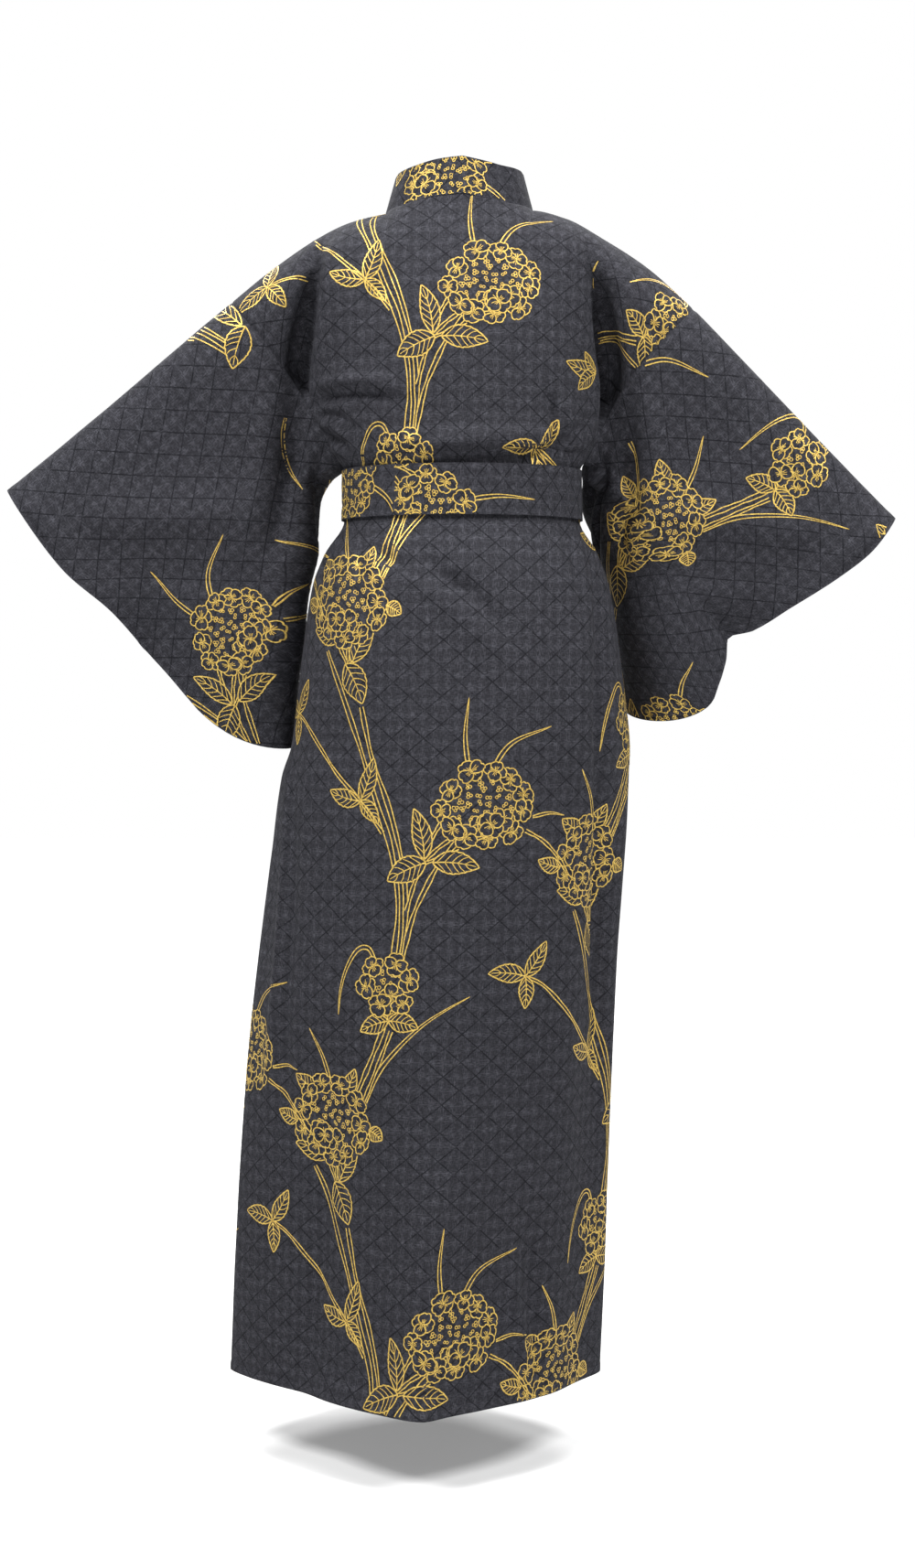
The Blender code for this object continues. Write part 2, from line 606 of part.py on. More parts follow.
def belt_knot(collection, material):
    """Plain flat knot in front of the belt: a rounded block."""
    bpy.ops.mesh.primitive_cube_add(size=1)
    knot = bpy.context.object
    knot.name = "belt_knot"
    knot.data.name = "belt_knot"
    knot.scale = KNOT_SIZE
    height = (BELT_TOP + BELT_BOTTOM) / 2
    belt_face = ring(height, math.pi)[1] - BELT_OUT - BELT_WALL / 2
    knot.location = (0.0, belt_face - SEAM_GAP - KNOT_SIZE[1] / 2, height)
    bpy.ops.object.transform_apply(location=False, rotation=False, scale=True)
    bevel = knot.modifiers.new("rounding", "BEVEL")
    bevel.width = KNOT_ROUNDING
    bevel.segments = 3
    knot.data.materials.append(material)
    knot.data.shade_smooth()
    for owner in list(knot.users_collection):
        owner.objects.unlink(knot)
    collection.objects.link(knot)


# ---------------------------------------------------------------- materials
def material(name, colour, roughness):
    made = bpy.data.materials.new(name)
    made.use_nodes = True
    shader = made.node_tree.nodes["Principled BSDF"]
    shader.inputs["Base Color"].default_value = (*colour, 1.0)
    shader.inputs["Roughness"].default_value = roughness
    shader.inputs["Metallic"].default_value = 0.0
    return made


def main():
    for old in list(bpy.data.objects):
        bpy.data.objects.remove(old, do_unlink=True)
    robe = bpy.data.collections.new("cotton_yukata_robe")
    bpy.context.scene.collection.children.link(robe)
    cotton = material("navy_cotton", (0.030, 0.031, 0.040), 0.86)
    band = material("navy_cotton_band", (0.027, 0.028, 0.036), 0.84)

    back = back_sheet()
    front_left = front_sheet("front_left", 1, 0.0)
    front_right = front_sheet("front_right", -1, WRAP_INSET)
    okumi_left = okumi_sheet("okumi_left", 1, 0.0)
    okumi_right = okumi_sheet("okumi_right", -1, WRAP_INSET)
    sleeves = {(side, layer): sleeve_sheet(f"sleeve_{name}_{layer}", side, layer == "back")
               for side, name in ((1, "left"), (-1, "right")) for layer in ("back", "front")}
    collar = collar_sheet()

    armhole = slice(0, ARMPIT_ROW + 1)
    below = slice(ARMPIT_ROW + 1, None)
    last = 2 * HALF_COLUMNS
    shoulder = slice(HALF_COLUMNS + NECK_COLUMN, last + 1)
    fronts = ((1, front_left, okumi_left, last), (-1, front_right, okumi_right, 0))
    for side, front_piece, okumi, column in fronts:
        share_normals(back, (armhole, column), sleeves[side, "back"], (armhole, 0))
        share_normals(front_piece, (armhole, -1), sleeves[side, "front"], (armhole, 0))
        share_normals(back, (below, column), front_piece, (below, -1))
        share_normals(front_piece, (slice(OKUMI_ROW, None), 0), okumi, (slice(None), -1))
        share_normals(sleeves[side, "back"], (0, slice(None)), sleeves[side, "front"], (0, slice(None)))
        columns = shoulder if side > 0 else slice(HALF_COLUMNS - NECK_COLUMN, None, -1)
        share_normals(back, (0, columns), front_piece, (0, slice(None)))

    neck = slice(HALF_COLUMNS - NECK_COLUMN, HALF_COLUMNS + NECK_COLUMN + 1)
    first = (len(collar.grid) - 2 * NECK_COLUMN - 1) // 2
    share_normals(back, (0, neck), collar, (slice(first + 2 * NECK_COLUMN, first - 1, -1), 0))
    for front_piece, okumi, start, step in ((front_left, okumi_left, first, -1),
                                            (front_right, okumi_right, first + 2 * NECK_COLUMN, 1)):
        front_piece.normals[0, 0] = collar.normals[start, 0]
        for row in range(1, OKUMI_ROW):
            share_normals(front_piece, (row, 0), collar, (start + step * row, 0))
        for row in range(first + 1 - OKUMI_ROW):
            share_normals(okumi, (row, 0), collar, (start + step * (row + OKUMI_ROW), 0))

    for sheet in (back, front_left, front_right):
        sheet.part(f"{sheet.name}_above_belt", slice(0, WAIST_ROW + 1)).build(robe, cotton)
        sheet.part(f"{sheet.name}_below_belt", slice(WAIST_ROW, None)).build(robe, cotton)
    for sheet in (okumi_left, okumi_right, *sleeves.values()):
        sheet.build(robe, cotton)
    collar.build(robe, band)
    belt_sheet("belt_long", BELT_SEAM_ANGLE, KNOT_ANGLE - 2 * math.pi, 36).build(robe, band)
    belt_sheet("belt_short", BELT_SEAM_ANGLE, KNOT_ANGLE, 24).build(robe, band)
    belt_knot(robe, band)
    belt_end_sheet("belt_end_left", 1).build(robe, band)
    belt_end_sheet("belt_end_right", -1).build(robe, band)


main()
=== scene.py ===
"""The looks of a cotton yukata robe: thin creased cloth, seams and hems, woven lattice and gold print.

Metres, +Z up.  The robe's front faces -Y, the wearer's left is +X.  Each panel is laid out from the
same tables as its solid, much finer, and takes its creases, seams and hems as small lifts outward.
A chart gives every point of a panel its place on the flat cloth, for the weave and for the print.
"""

import math
import random

import bmesh
import bpy
import numpy as np
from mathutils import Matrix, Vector
from mathutils.bvhtree import BVHTree


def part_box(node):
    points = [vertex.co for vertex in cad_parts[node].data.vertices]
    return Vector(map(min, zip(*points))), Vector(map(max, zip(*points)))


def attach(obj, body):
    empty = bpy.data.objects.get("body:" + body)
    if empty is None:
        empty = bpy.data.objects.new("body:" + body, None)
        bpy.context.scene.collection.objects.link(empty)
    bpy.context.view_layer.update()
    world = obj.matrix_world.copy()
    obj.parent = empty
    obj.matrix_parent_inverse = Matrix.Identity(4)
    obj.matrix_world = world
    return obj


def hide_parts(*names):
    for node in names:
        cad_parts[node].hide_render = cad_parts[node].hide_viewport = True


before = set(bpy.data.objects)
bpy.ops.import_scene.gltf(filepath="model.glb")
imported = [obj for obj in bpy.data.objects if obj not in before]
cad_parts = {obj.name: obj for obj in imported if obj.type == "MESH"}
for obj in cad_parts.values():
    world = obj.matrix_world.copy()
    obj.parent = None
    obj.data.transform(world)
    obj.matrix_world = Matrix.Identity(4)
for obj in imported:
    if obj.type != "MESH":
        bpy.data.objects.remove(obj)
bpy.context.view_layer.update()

# ---------------------------------------------------------------- driving sizes
ARMPIT_Z = -0.316
HEM_Z = -1.430
SIDE_ANGLE = math.radians(96)        # side seams, from the middle of the back

NECK_SHARE = 0.3                     # share of the top edge that the neck takes
NECK_BACK = 0.062
NECK_FRONT = 0.050
NAPE_Z = -0.007
THROAT_Z = -0.045
SHOULDER_ROLL = 0.052                # depth over which the cloth rolls over the shoulder
ARMHOLE = 0.224
ARMHOLE_SWELL = 0.048
ARMPIT_SWELL = 0.006

SLEEVE_WIDTH = 0.350
SLEEVE_DROP = 0.486
SLEEVE_CORNER = 0.165                # rounded lower corner
CUFF_OPENING = 0.245
SLEEVE_Y = -0.005
LAYERS_APART = 0.0007                # of each layer from the middle, where the two are sewn together
CUFF_FORWARD = 0.022
CUFF_SWELL = 0.034
SLEEVE_SWELL = 0.017
FALL_SWELL = 0.009                   # of the open inner edge
BAG_ROUND = 0.11                     # distances over which the bag fills out from a sewn edge,
BOTTOM_ROUND = 0.06                  # the inner edge from its lower end,
FALL_ROUND = 0.09                    # and the inner edge below the armhole
SEAM_BLEND = 0.16                    # from the sleeve's own swell to that of the armhole
TURN_RADII = {1: 0.018, -1: 0.062}   # where the sleeve turns forward beside the hip
TURN_ANGLES = {1: math.radians(101), -1: math.radians(106)}

WRAP_INSET = 0.006                   # right front under the left one
WRAP_PLACES = (-0.97, -0.76)         # where it goes under: places across, and levels
WRAP_LEVELS = (0.10, 0.45)
COLLAR_WIDTH = 0.050
COLLAR_STAND = 0.045
COLLAR_END_Z = -0.560
COLLAR_LIES = 0.36                   # level from which the band lies flat on the front
COLLAR_SLANTS = (0.80, 0.97)         # share of its width that lies across, above and below the armpit
COLLAR_DROP = 0.10                   # levels by which its free edge hangs lower
COLLAR_LEAN = (0.016, 0.004)         # of its standing part: towards the neck, and back
NECK_LEAN = (-0.14, -0.006)          # behind the neck: share of the distance sideways, and forward
COLLAR_OUT = 0.0004

BELT_TOP = -0.3285
BELT_BOTTOM = -0.3885
BELT_OUT = 0.0036
BELT_SEAM_ANGLE = math.radians(33.5)
KNOT_ANGLE = math.radians(176)
KNOT_HEIGHT = 0.040
END_LENGTH = 0.340
END_WIDTH = 0.056
END_NARROW = 0.018                   # width at the knot
END_SPREAD = 0.30                    # share of its length over which an end spreads to its width
END_GAP = 0.003                      # from the middle, at the knot
END_SPLAY = 0.016                    # how far the ends part further down
END_OUT, END_FALL = 0.0115, 0.0055   # distance before the skirt at the knot, and how much it loses
END_CUP = 0.002                      # hollow across its width
END_PLEAT, END_PLEAT_RUN = 0.0016, 0.22
END_FRONT = -0.1145                  # an end lies no further back than this
KNOT_PLEATS = (0.055, 3.1, 0.16)     # height, number and slant
KNOT_CREASE = (0.02, 8, 1)           # height, number and start
KNOT_DRAWN = (0.30, 0.70)            # share of its size at its ends, and the rest in its middle
KNOT_TALL = (0.55, 0.45)             # the same for its height
KNOT_ROUND = 3.2
KNOT_SQUARE = 0.75

CLOTH_OUT = 0.0008                   # cloth's outer face, from the middle of its solid wall
CLOTH_THICKNESS = 0.0006
BAND_THICKNESS = 0.0022              # collar and belt, folded cloth
HEM_TURN = 0.011
HEM_LIFT = 0.0005
HEM_SOFT = 0.0012                    # half the width of the hem's step
HEM_GROOVE = 0.0016                  # half-width of the sewn line beside it, and its share of the lift
HEM_GROOVE_SHARE = 0.6
SEAM_REACH = 0.0028
PRINT_LIFT = 0.0003
WAVES = (26.0, 43.0, 71.0, 118.0)    # slow unevenness of the cloth, radians in a metre
SHARP_ANGLE = math.radians(65)

# ---------------------------------------------------------------- tables
# Body tube below the armpit: height, middle line, reach to the left, right, back and front, roundness
TUBE = (
    (-0.316, 0.000, 0.150, 0.150, 0.113, 0.112, 2.00),
    (-0.3285, 0.000, 0.141, 0.141, 0.105, 0.104, 2.00),
    (-0.3885, 0.000, 0.142, 0.142, 0.106, 0.105, 2.00),
    (-0.430, 0.000, 0.166, 0.164, 0.124, 0.118, 2.00),
    (-0.470, 0.001, 0.181, 0.178, 0.137, 0.127, 2.00),
    (-0.556, 0.003, 0.194, 0.192, 0.150, 0.137, 2.00),
    (-0.660, 0.006, 0.207, 0.202, 0.156, 0.145, 1.95),
    (-0.700, 0.007, 0.220, 0.199, 0.157, 0.147, 1.92),
    (-0.790, 0.010, 0.233, 0.193, 0.160, 0.150, 1.85),
    (-0.920, 0.016, 0.250, 0.184, 0.164, 0.154, 1.75),
    (-1.055, 0.023, 0.265, 0.178, 0.169, 0.158, 1.65),
    (-1.220, 0.033, 0.277, 0.172, 0.177, 0.163, 1.55),
    (-1.430, 0.045, 0.286, 0.166, 0.194, 0.170, 1.45),
)
# Middle of the back and of the front above the armpit: height, distance from the axis
BACK_LINE = ((-0.316, 0.113), (-0.26, 0.112), (-0.20, 0.109), (-0.14, 0.102), (-0.08, 0.088),
             (-0.007, 0.062))
FRONT_LINE = ((-0.316, 0.112), (-0.26, 0.117), (-0.20, 0.116), (-0.14, 0.105), (-0.09, 0.084),
              (-0.045, 0.050))
# Top edge seen from behind, neck to sleeve seam: share, sideways, height
TOP_LEFT = ((0.0, 0.000, -0.007), (0.1, 0.034, -0.010), (0.2, 0.066, -0.016), (0.3, 0.092, -0.020),
            (0.44, 0.134, -0.030), (0.58, 0.174, -0.049), (0.79, 0.230, -0.087), (1.0, 0.279, -0.126))
TOP_RIGHT = ((0.0, 0.000, -0.007), (0.1, 0.031, -0.012), (0.2, 0.060, -0.016), (0.3, 0.085, -0.016),
             (0.44, 0.126, -0.026), (0.58, 0.167, -0.048), (0.79, 0.227, -0.087), (1.0, 0.280, -0.134))
# Sleeve seam and the line that carries on below it: drop, sideways, height
INNER_LEFT = ((0.0, 0.279, -0.126), (0.12, 0.200, -0.228), (0.224, 0.149, -0.316), (0.486, -0.019, -0.516))
INNER_RIGHT = ((0.0, 0.280, -0.134), (0.12, 0.196, -0.228), (0.224, 0.149, -0.316), (0.486, -0.027, -0.505))
# Sleeve's outer edge: drop, sideways, height
OUTER_LEFT = ((0.0, 0.556, -0.350), (0.115, 0.484, -0.449), (0.185, 0.428, -0.498), (0.245, 0.390, -0.543),
              (0.313, 0.347, -0.592), (0.486, 0.250, -0.734))
OUTER_RIGHT = ((0.0, 0.530, -0.384), (0.055, 0.496, -0.427), (0.102, 0.458, -0.457), (0.170, 0.400, -0.494),
               (0.219, 0.356, -0.521), (0.245, 0.325, -0.531), (0.270, 0.325, -0.550),
               (0.313, 0.316, -0.585), (0.412, 0.305, -0.640), (0.486, 0.296, -0.690))
# Line on which the sleeve turns forward: height, nearest point of the turned cloth to the axis
TURN_LEFT = ((-0.300, 0.105), (-0.316, 0.124), (-0.338, 0.160), (-0.365, 0.172), (-0.420, 0.175),
             (-0.470, 0.187), (-0.556, 0.1985), (-0.660, 0.2095), (-0.720, 0.2235))
TURN_RIGHT = ((-0.300, 0.105), (-0.316, 0.124), (-0.340, 0.148), (-0.362, 0.149), (-0.420, 0.165),
              (-0.470, 0.182), (-0.556, 0.196), (-0.660, 0.2055))
# Troughs behind the arms: side, top sideways and height, bottom sideways and height, half-width and
# how much of the depth they take
TROUGHS = (
    (1, 0.180, -0.085, 0.203, -0.310, 0.030, 0.50),
    (-1, 0.150, -0.075, 0.186, -0.310, 0.030, 0.55),
)
# Folds of the skirt: angle from the middle of the back, half-width, depth inward, top, bottom
SKIRT_FOLDS = (
    (-66, 11, 0.010, -0.62, -1.20),
    (-84, 9, -0.006, -0.60, -1.43),
    (74, 12, 0.007, -0.62, -1.15),
    (48, 24, 0.027, -0.95, -1.60),
    (2, 12, -0.011, -1.10, -1.60),
    (-30, 15, 0.006, -0.90, -1.43),
    (118, 13, 0.008, -0.45, -1.30),
    (150, 12, 0.006, -0.60, -1.43),
    (-122, 13, 0.008, -0.45, -1.43),
)
# Front edge of the left front, on the front skin: level, place across (the right one mirrors it)
FRONT_EDGE = ((0.0, 0.300), (0.08, 0.288), (0.19, 0.250), (0.34, 0.180), (0.52, 0.075), (0.62, -0.020),
              (0.82, -0.190), (1.0, -0.340), (1.065, -0.420), (1.15, -0.500), (1.22, -0.520), (2.0, -0.450))
OKUMI_TOP_EDGE = -0.003              # the overlap panel starts where the front edge passes the middle

# Creases on the flat cloth of each panel: half-width, height (below zero is a trough), share of the
# half-width on the steep side, and the line it follows, as x and y of each point in millimetres
BACK_CREASES = (
    # troughs behind the arms
    (0.012, -0.0250, 0.60, (172, -40, 184, -98, 200, -140, 219, -182, 234, -225, 238, -262, 222, -305)),
    (0.018, 0.0060, 1.00, (150, -75, 165, -140, 184, -195, 190, -225)),
    (0.012, -0.0280, 0.55, (-150, -70, -174, -128, -192, -170, -208, -214, -213, -258, -216, -305)),
    (0.018, 0.0055, 1.00, (-130, -100, -155, -160, -170, -210)),
    # drawn cloth at the left armpit
    (0.009, -0.0095, 0.60, (225, -250, 172, -246, 117, -248, 55, -259)),
    (0.011, 0.0065, 1.00, (205, -233, 150, -230, 100, -235, 60, -243)),
    (0.007, -0.0080, 0.70, (220, -262, 175, -268, 150, -276, 122, -300)),
    (0.007, 0.0055, 1.00, (205, -268, 165, -281, 142, -300)),
    (0.007, -0.0075, 0.70, (225, -282, 168, -299, 140, -318)),
    (0.007, 0.0035, 1.00, (200, -300, 160, -310)),
    # above the belt, where the cloth blouses
    (0.008, -0.0090, 0.70, (-200, -308, -107, -316, -37, -318, 45, -321)),
    (0.012, 0.0065, 1.00, (-150, -296, -60, -299, 20, -303, 120, -306)),
    (0.010, -0.0085, 0.60, (-52, -322, -96, -318, -140, -297, -172, -276)),
    (0.010, -0.0075, 0.60, (-98, -236, -108, -262, -115, -298, -112, -320)),
    (0.012, 0.0040, 1.00, (-125, -245, -132, -272, -128, -300)),
    (0.006, -0.0035, 0.70, (-205, -262, -170, -270, -150, -290)),
    (0.007, -0.0030, 0.80, (110, -322, 60, -312, 20, -290)),
    # shoulders and upper back
    (0.018, 0.0022, 1.00, (60, -60, 105, -90, 130, -140)),
    (0.016, -0.0022, 0.80, (30, -45, 75, -85, 105, -140, 115, -190)),
    (0.016, -0.0018, 0.80, (-40, -50, -80, -95, -100, -150)),
    (0.024, 0.0016, 1.00, (10, -130, 20, -200, 0, -260)),
    # below the belt
    (0.008, -0.0045, 0.60, (180, -392, 199, -424, 214, -470)),
    (0.011, -0.0070, 0.60, (72, -425, 30, -455, -10, -482, -66, -540)),
    (0.014, 0.0045, 1.00, (70, -445, 20, -490, -50, -560)),
    (0.010, -0.0062, 0.60, (130, -420, 80, -445, 30, -470, -30, -476)),
    (0.010, -0.0026, 0.70, (135, -398, 128, -440, 132, -500)),
    (0.008, -0.0028, 0.70, (-80, -398, -92, -430, -120, -470)),
    (0.009, -0.0030, 0.70, (-128, -396, -145, -450, -160, -520)),
    (0.017, -0.0120, 0.60, (-172, -400, -182, -470, -187, -557, -186, -643, -203, -752, -217, -863,
                            -229, -975, -238, -1130)),
    (0.020, 0.0040, 1.00, (-150, -480, -152, -600, -155, -720)),
    # down the skirt
    (0.011, 0.0055, 0.80, (250, -640, 244, -776, 237, -885, 240, -973, 256, -1090)),
    (0.013, -0.0055, 0.80, (224, -700, 216, -860, 215, -1000, 226, -1150)),
    (0.030, 0.0022, 1.00, (60, -580, 70, -740, 66, -900)),
    (0.032, -0.0020, 1.00, (-60, -700, -62, -900, -70, -1120)),
    (0.022, -0.0060, 0.80, (150, -1060, 160, -1240, 176, -1430)),
    (0.008, 0.0055, 0.80, (-104, -1250, -113, -1293, -137, -1385)),
    (0.016, -0.0065, 0.70, (-128, -1200, -140, -1300, -160, -1430)),
    (0.020, 0.0022, 1.00, (10, -1260, 14, -1345, 16, -1430)),
    (0.028, 0.0080, 1.00, (200, -1425, 120, -1432, 30, -1436, -50, -1440)),
)
FRONT_CREASES = (
    (0.017, -0.0080, 0.75, (160, -60, 185, -130, 205, -200, 215, -290)),
    (0.008, -0.0045, 0.60, (210, -262, 150, -262, 90, -245, 50, -220)),
    (0.010, 0.0035, 1.00, (190, -248, 130, -244, 80, -225)),
    (0.007, -0.0045, 0.70, (205, -290, 150, -302, 90, -306, 30, -300)),
    (0.011, 0.0035, 1.00, (170, -288, 110, -290, 50, -284)),
    (0.016, -0.0020, 0.90, (120, -60, 100, -120, 70, -190)),
    (0.009, -0.0035, 0.70, (50, -396, 60, -450, 72, -520)),
    (0.009, -0.0035, 0.70, (95, -396, 110, -460, 135, -560)),
    (0.012, 0.0030, 1.00, (75, -400, 90, -470, 110, -570)),
    (0.013, -0.0035, 0.70, (160, -400, 185, -520, 200, -700)),
    (0.020, -0.0035, 0.80, (80, -560, 90, -800, 100, -1150)),
    (0.022, 0.0030, 1.00, (140, -620, 150, -900, 160, -1250)),
    (0.020, -0.0035, 0.80, (190, -780, 200, -1050, 215, -1430)),
    (0.014, -0.0025, 0.80, (110, -1180, 118, -1300, 130, -1430)),
)
OKUMI_CREASES = (
    (0.010, -0.0026, 0.80, (30, -400, 40, -480, 45, -600)),
    (0.014, 0.0024, 1.00, (70, -420, 75, -580, 80, -760)),
    (0.016, -0.0022, 0.90, (50, -850, 55, -1100, 60, -1380)),
)
# The same on the sleeves: distance from the cuff edge, and down from the top fold
SLEEVE_CREASES = (
    (0.013, -0.0130, 0.70, (330, 130, 290, 185, 245, 225, 190, 275)),
    (0.016, 0.0070, 1.00, (330, 90, 280, 150, 230, 195, 170, 235)),
    (0.011, -0.0100, 0.60, (345, 190, 310, 225, 270, 275, 235, 340)),
    (0.030, 0.0075, 0.80, (20, 55, 90, 110, 160, 165, 235, 215)),
    (0.026, -0.0035, 0.80, (30, 150, 90, 200, 150, 255, 185, 310)),
    (0.022, 0.0030, 1.00, (110, 310, 150, 350, 200, 400)),
    (0.018, -0.0025, 0.80, (60, 40, 50, 110, 35, 190)),
    (0.015, -0.0025, 0.80, (240, 30, 215, 80, 180, 120)),
    (0.012, -0.0030, 0.70, (260, 350, 220, 400, 190, 450)),
    (0.008, 0.0045, 1.00, (17, 12, 18, 65, 15, 118)),
)
RIGHT_SLEEVE_CREASES = (
    (0.016, -0.0110, 0.80, (338, 170, 318, 250, 300, 330, 290, 410)),
)
BELT_CREASES = (
    (0.004, -0.0010, 0.80, (20, -372, 90, -370, 160, -366)),
    (0.006, 0.0008, 1.00, (100, -345, 170, -349, 240, -350)),
    (0.005, -0.0010, 0.80, (300, -366, 360, -362, 420, -360)),
)

FOLD_RUN_IN = 0.18                   # length over which a skirt fold starts, and over which it ends
FOLD_RUN_OUT = 0.15
FOLD_LOSS = 0.4                      # share of its depth that is gone at its lower end
FRONT_SQUEEZE = 0.6                  # depth of the troughs in front, as a share of those at the back
CREASE_STEP = 0.012
CREASE_FADE = 0.3                    # share of a crease's length over which each end fades
CREASE_END = 0.15                    # share of its height that is left at the ends

# Rows and columns of the fine cloth: the first levels under the shoulder, and heights above the hem
TOP_LEVELS = (0.0, 0.0006, 0.0016, 0.0032, 0.0055, 0.0085, 0.0125, 0.018, 0.025, 0.034, 0.045, 0.058)
HEM_STEPS = (0.0125, 0.0105, 0.0085, 0.005, 0.002, 0.0)
ROW_STEP = 0.0064
EDGE_SHARES = (0.0, 0.006, 0.014, 0.026)
NECK_COLUMNS = 18
OUTER_COLUMNS = 56
FRONT_COLUMNS = 56
OKUMI_COLUMNS = 22
SLEEVE_COLUMNS = 56


# ---------------------------------------------------------------- plain helpers
def curve(table, column):
    """Smooth curve through one column of a table, which never overshoots its points."""
    rows = np.array(sorted(table))
    x, y = rows[:, 0], rows[:, column]
    slope = np.diff(y) / np.diff(x)
    tangent = np.zeros(len(x))
    tangent[0], tangent[-1] = slope[0], slope[-1]
    for i in range(1, len(x) - 1):
        if slope[i - 1] * slope[i] > 0:
            tangent[i] = 2 * slope[i - 1] * slope[i] / (slope[i - 1] + slope[i])

    def at(place):
        place = np.clip(place, x[0], x[-1])
        k = np.clip(np.searchsorted(x, place, side="right") - 1, 0, len(x) - 2)
        span = x[k + 1] - x[k]
        t = (place - x[k]) / span
        rise = (2 * t ** 3 - 3 * t ** 2 + 1) * y[k] + (3 * t ** 2 - 2 * t ** 3) * y[k + 1]
        return rise + span * ((t ** 3 - 2 * t ** 2 + t) * tangent[k] + (t ** 3 - t ** 2) * tangent[k + 1])

    return at


def ease(value, start, end):
    """0 at start, 1 at end, smooth between."""
    share = np.clip((value - start) / (end - start), 0.0, 1.0)
    return share * share * (3 - 2 * share)


def roll(depth, radius):
    """Quarter round: how far the cloth has rolled over at a depth below the fold."""
    share = np.minimum(depth / radius, 1.0)
    return np.sqrt(np.maximum(1 - (1 - share) ** 2, 0.0))


def metres(millimetres):
    """Points of a table in millimetres, as rows of x and y in metres."""
    return np.reshape(millimetres, (-1, 2)) / 1000


def unit(vectors):
    return vectors / np.maximum(np.linalg.norm(vectors, axis=-1, keepdims=True), 1e-12)


def run_lengths(points, axis):
    """Distance along the rows or columns of a grid, from its first edge."""
    steps = np.linalg.norm(np.diff(points, axis=axis), axis=-1)
    start = np.zeros_like(np.take(steps, [0], axis=axis))
    return np.concatenate((start, np.cumsum(steps, axis=axis)), axis=axis)


def spline(points, step):
    """Smooth curve through points, with a point about every step."""
    points = np.asarray(points, dtype=float)
    ends = np.concatenate((2 * points[:1] - points[1:2], points, 2 * points[-1:] - points[-2:-1]))
    result = []
    for a, b, c, d in zip(ends, ends[1:], ends[2:], ends[3:]):
        t = np.linspace(0, 1, max(2, int(np.linalg.norm(c - b) / step) + 1), endpoint=False)[:, None]
        result.append(b + 0.5 * t * (c - a + t * (2 * a - 5 * b + 4 * c - d + t * (3 * (b - c) + d - a))))
    result.append(points[-1:])
    return np.concatenate(result)


def evenly(points, step):
    """The same path with points at even distances."""
    lengths = run_lengths(points, 0)
    count = max(2, int(math.ceil(lengths[-1] / step)) + 1)
    at = np.linspace(0, lengths[-1], count)
    return np.stack([np.interp(at, lengths, points[:, i]) for i in range(points.shape[1])], axis=-1)


def sideways(points):
    """Unit vectors to the left of a path."""
    ahead = unit(np.gradient(points, axis=0))
    return np.stack((-ahead[:, 1], ahead[:, 0]), axis=-1)


def flat_chart(across, down):
    """Chart of a straight strip, from its places across and down."""
    return np.stack(np.broadcast_arrays(across[None, :], down[:, None]), axis=-1)


def added(name, data):
    """A new object in the scene."""
    thing = bpy.data.objects.new(name, data)
    bpy.context.scene.collection.objects.link(thing)
    return thing


# ---------------------------------------------------------------- body skins
def both_sides(left, right):
    """Curves of sideways place and height, for the left side (1) and the right side (-1)."""
    return {side: (curve(table, 1), curve(table, 2)) for side, table in ((1, left), (-1, right))}


TUBE_CURVES = [curve(TUBE, column) for column in range(1, 7)]
TOP_CURVES = both_sides(TOP_LEFT, TOP_RIGHT)
INNER_CURVES = both_sides(INNER_LEFT, INNER_RIGHT)
OUTER_CURVES = both_sides(OUTER_LEFT, OUTER_RIGHT)
TURN_CURVES = {1: curve(TURN_LEFT, 1), -1: curve(TURN_RIGHT, 1)}
BACK_CURVE = curve(BACK_LINE, 1)
FRONT_CURVE = curve(FRONT_LINE, 1)
EDGE_CURVE = curve(FRONT_EDGE, 1)


def skirt_fold(angle, height):
    """Inward depth of the skirt's folds at an angle and height."""
    total = 0.0
    for centre, half_width, depth, top, bottom in SKIRT_FOLDS:
        turn = (np.degrees(angle) - centre + 180) % 360 - 180
        fade = ease(height, top, top - FOLD_RUN_IN)
        fade = fade * (1 - FOLD_LOSS * ease(height, bottom + FOLD_RUN_OUT, bottom))
        total = total + depth * fade * np.exp(-(turn / half_width) ** 2)
    return total


def ring(height, angle):
    """Points of the body tube; angle 0 is the middle of the back, +90 degrees the wearer's left."""
    angle = np.asarray(angle, dtype=float)
    mid, left, right, back, front, roundness = [column(height) for column in TUBE_CURVES]
    sin, cos = np.sin(angle), np.cos(angle)
    inward = skirt_fold(angle, height)
    reach = np.where(sin > 0, left - mid, right + mid) - inward
    depth = np.where(cos > 0, back, front) - inward
    across = np.sign(sin) * np.abs(sin) ** (2 / roundness) * reach
    deep = np.sign(cos) * np.abs(cos) ** (2 / roundness) * depth
    return np.stack((mid + across, deep, height + 0 * across), axis=-1)


def tube_angles(height, side, back, shares):
    """Angles at shares of the tube's own length, from the middle to the side seam."""
    start = 0.0 if back else math.pi
    end = SIDE_ANGLE if side > 0 else (-SIDE_ANGLE if back else 2 * math.pi - SIDE_ANGLE)
    angles = np.linspace(start, end, 49)
    lengths = run_lengths(ring(height, angles), 0)
    return np.interp(shares * lengths[-1], lengths, angles)


def level_height(level):
    """Level 0 is the shoulder, 1 the armpit and 2 the hem."""
    return ARMPIT_Z + (level - 1) * (HEM_Z - ARMPIT_Z)


def height_level(height):
    return 1 + (height - ARMPIT_Z) / (HEM_Z - ARMPIT_Z)


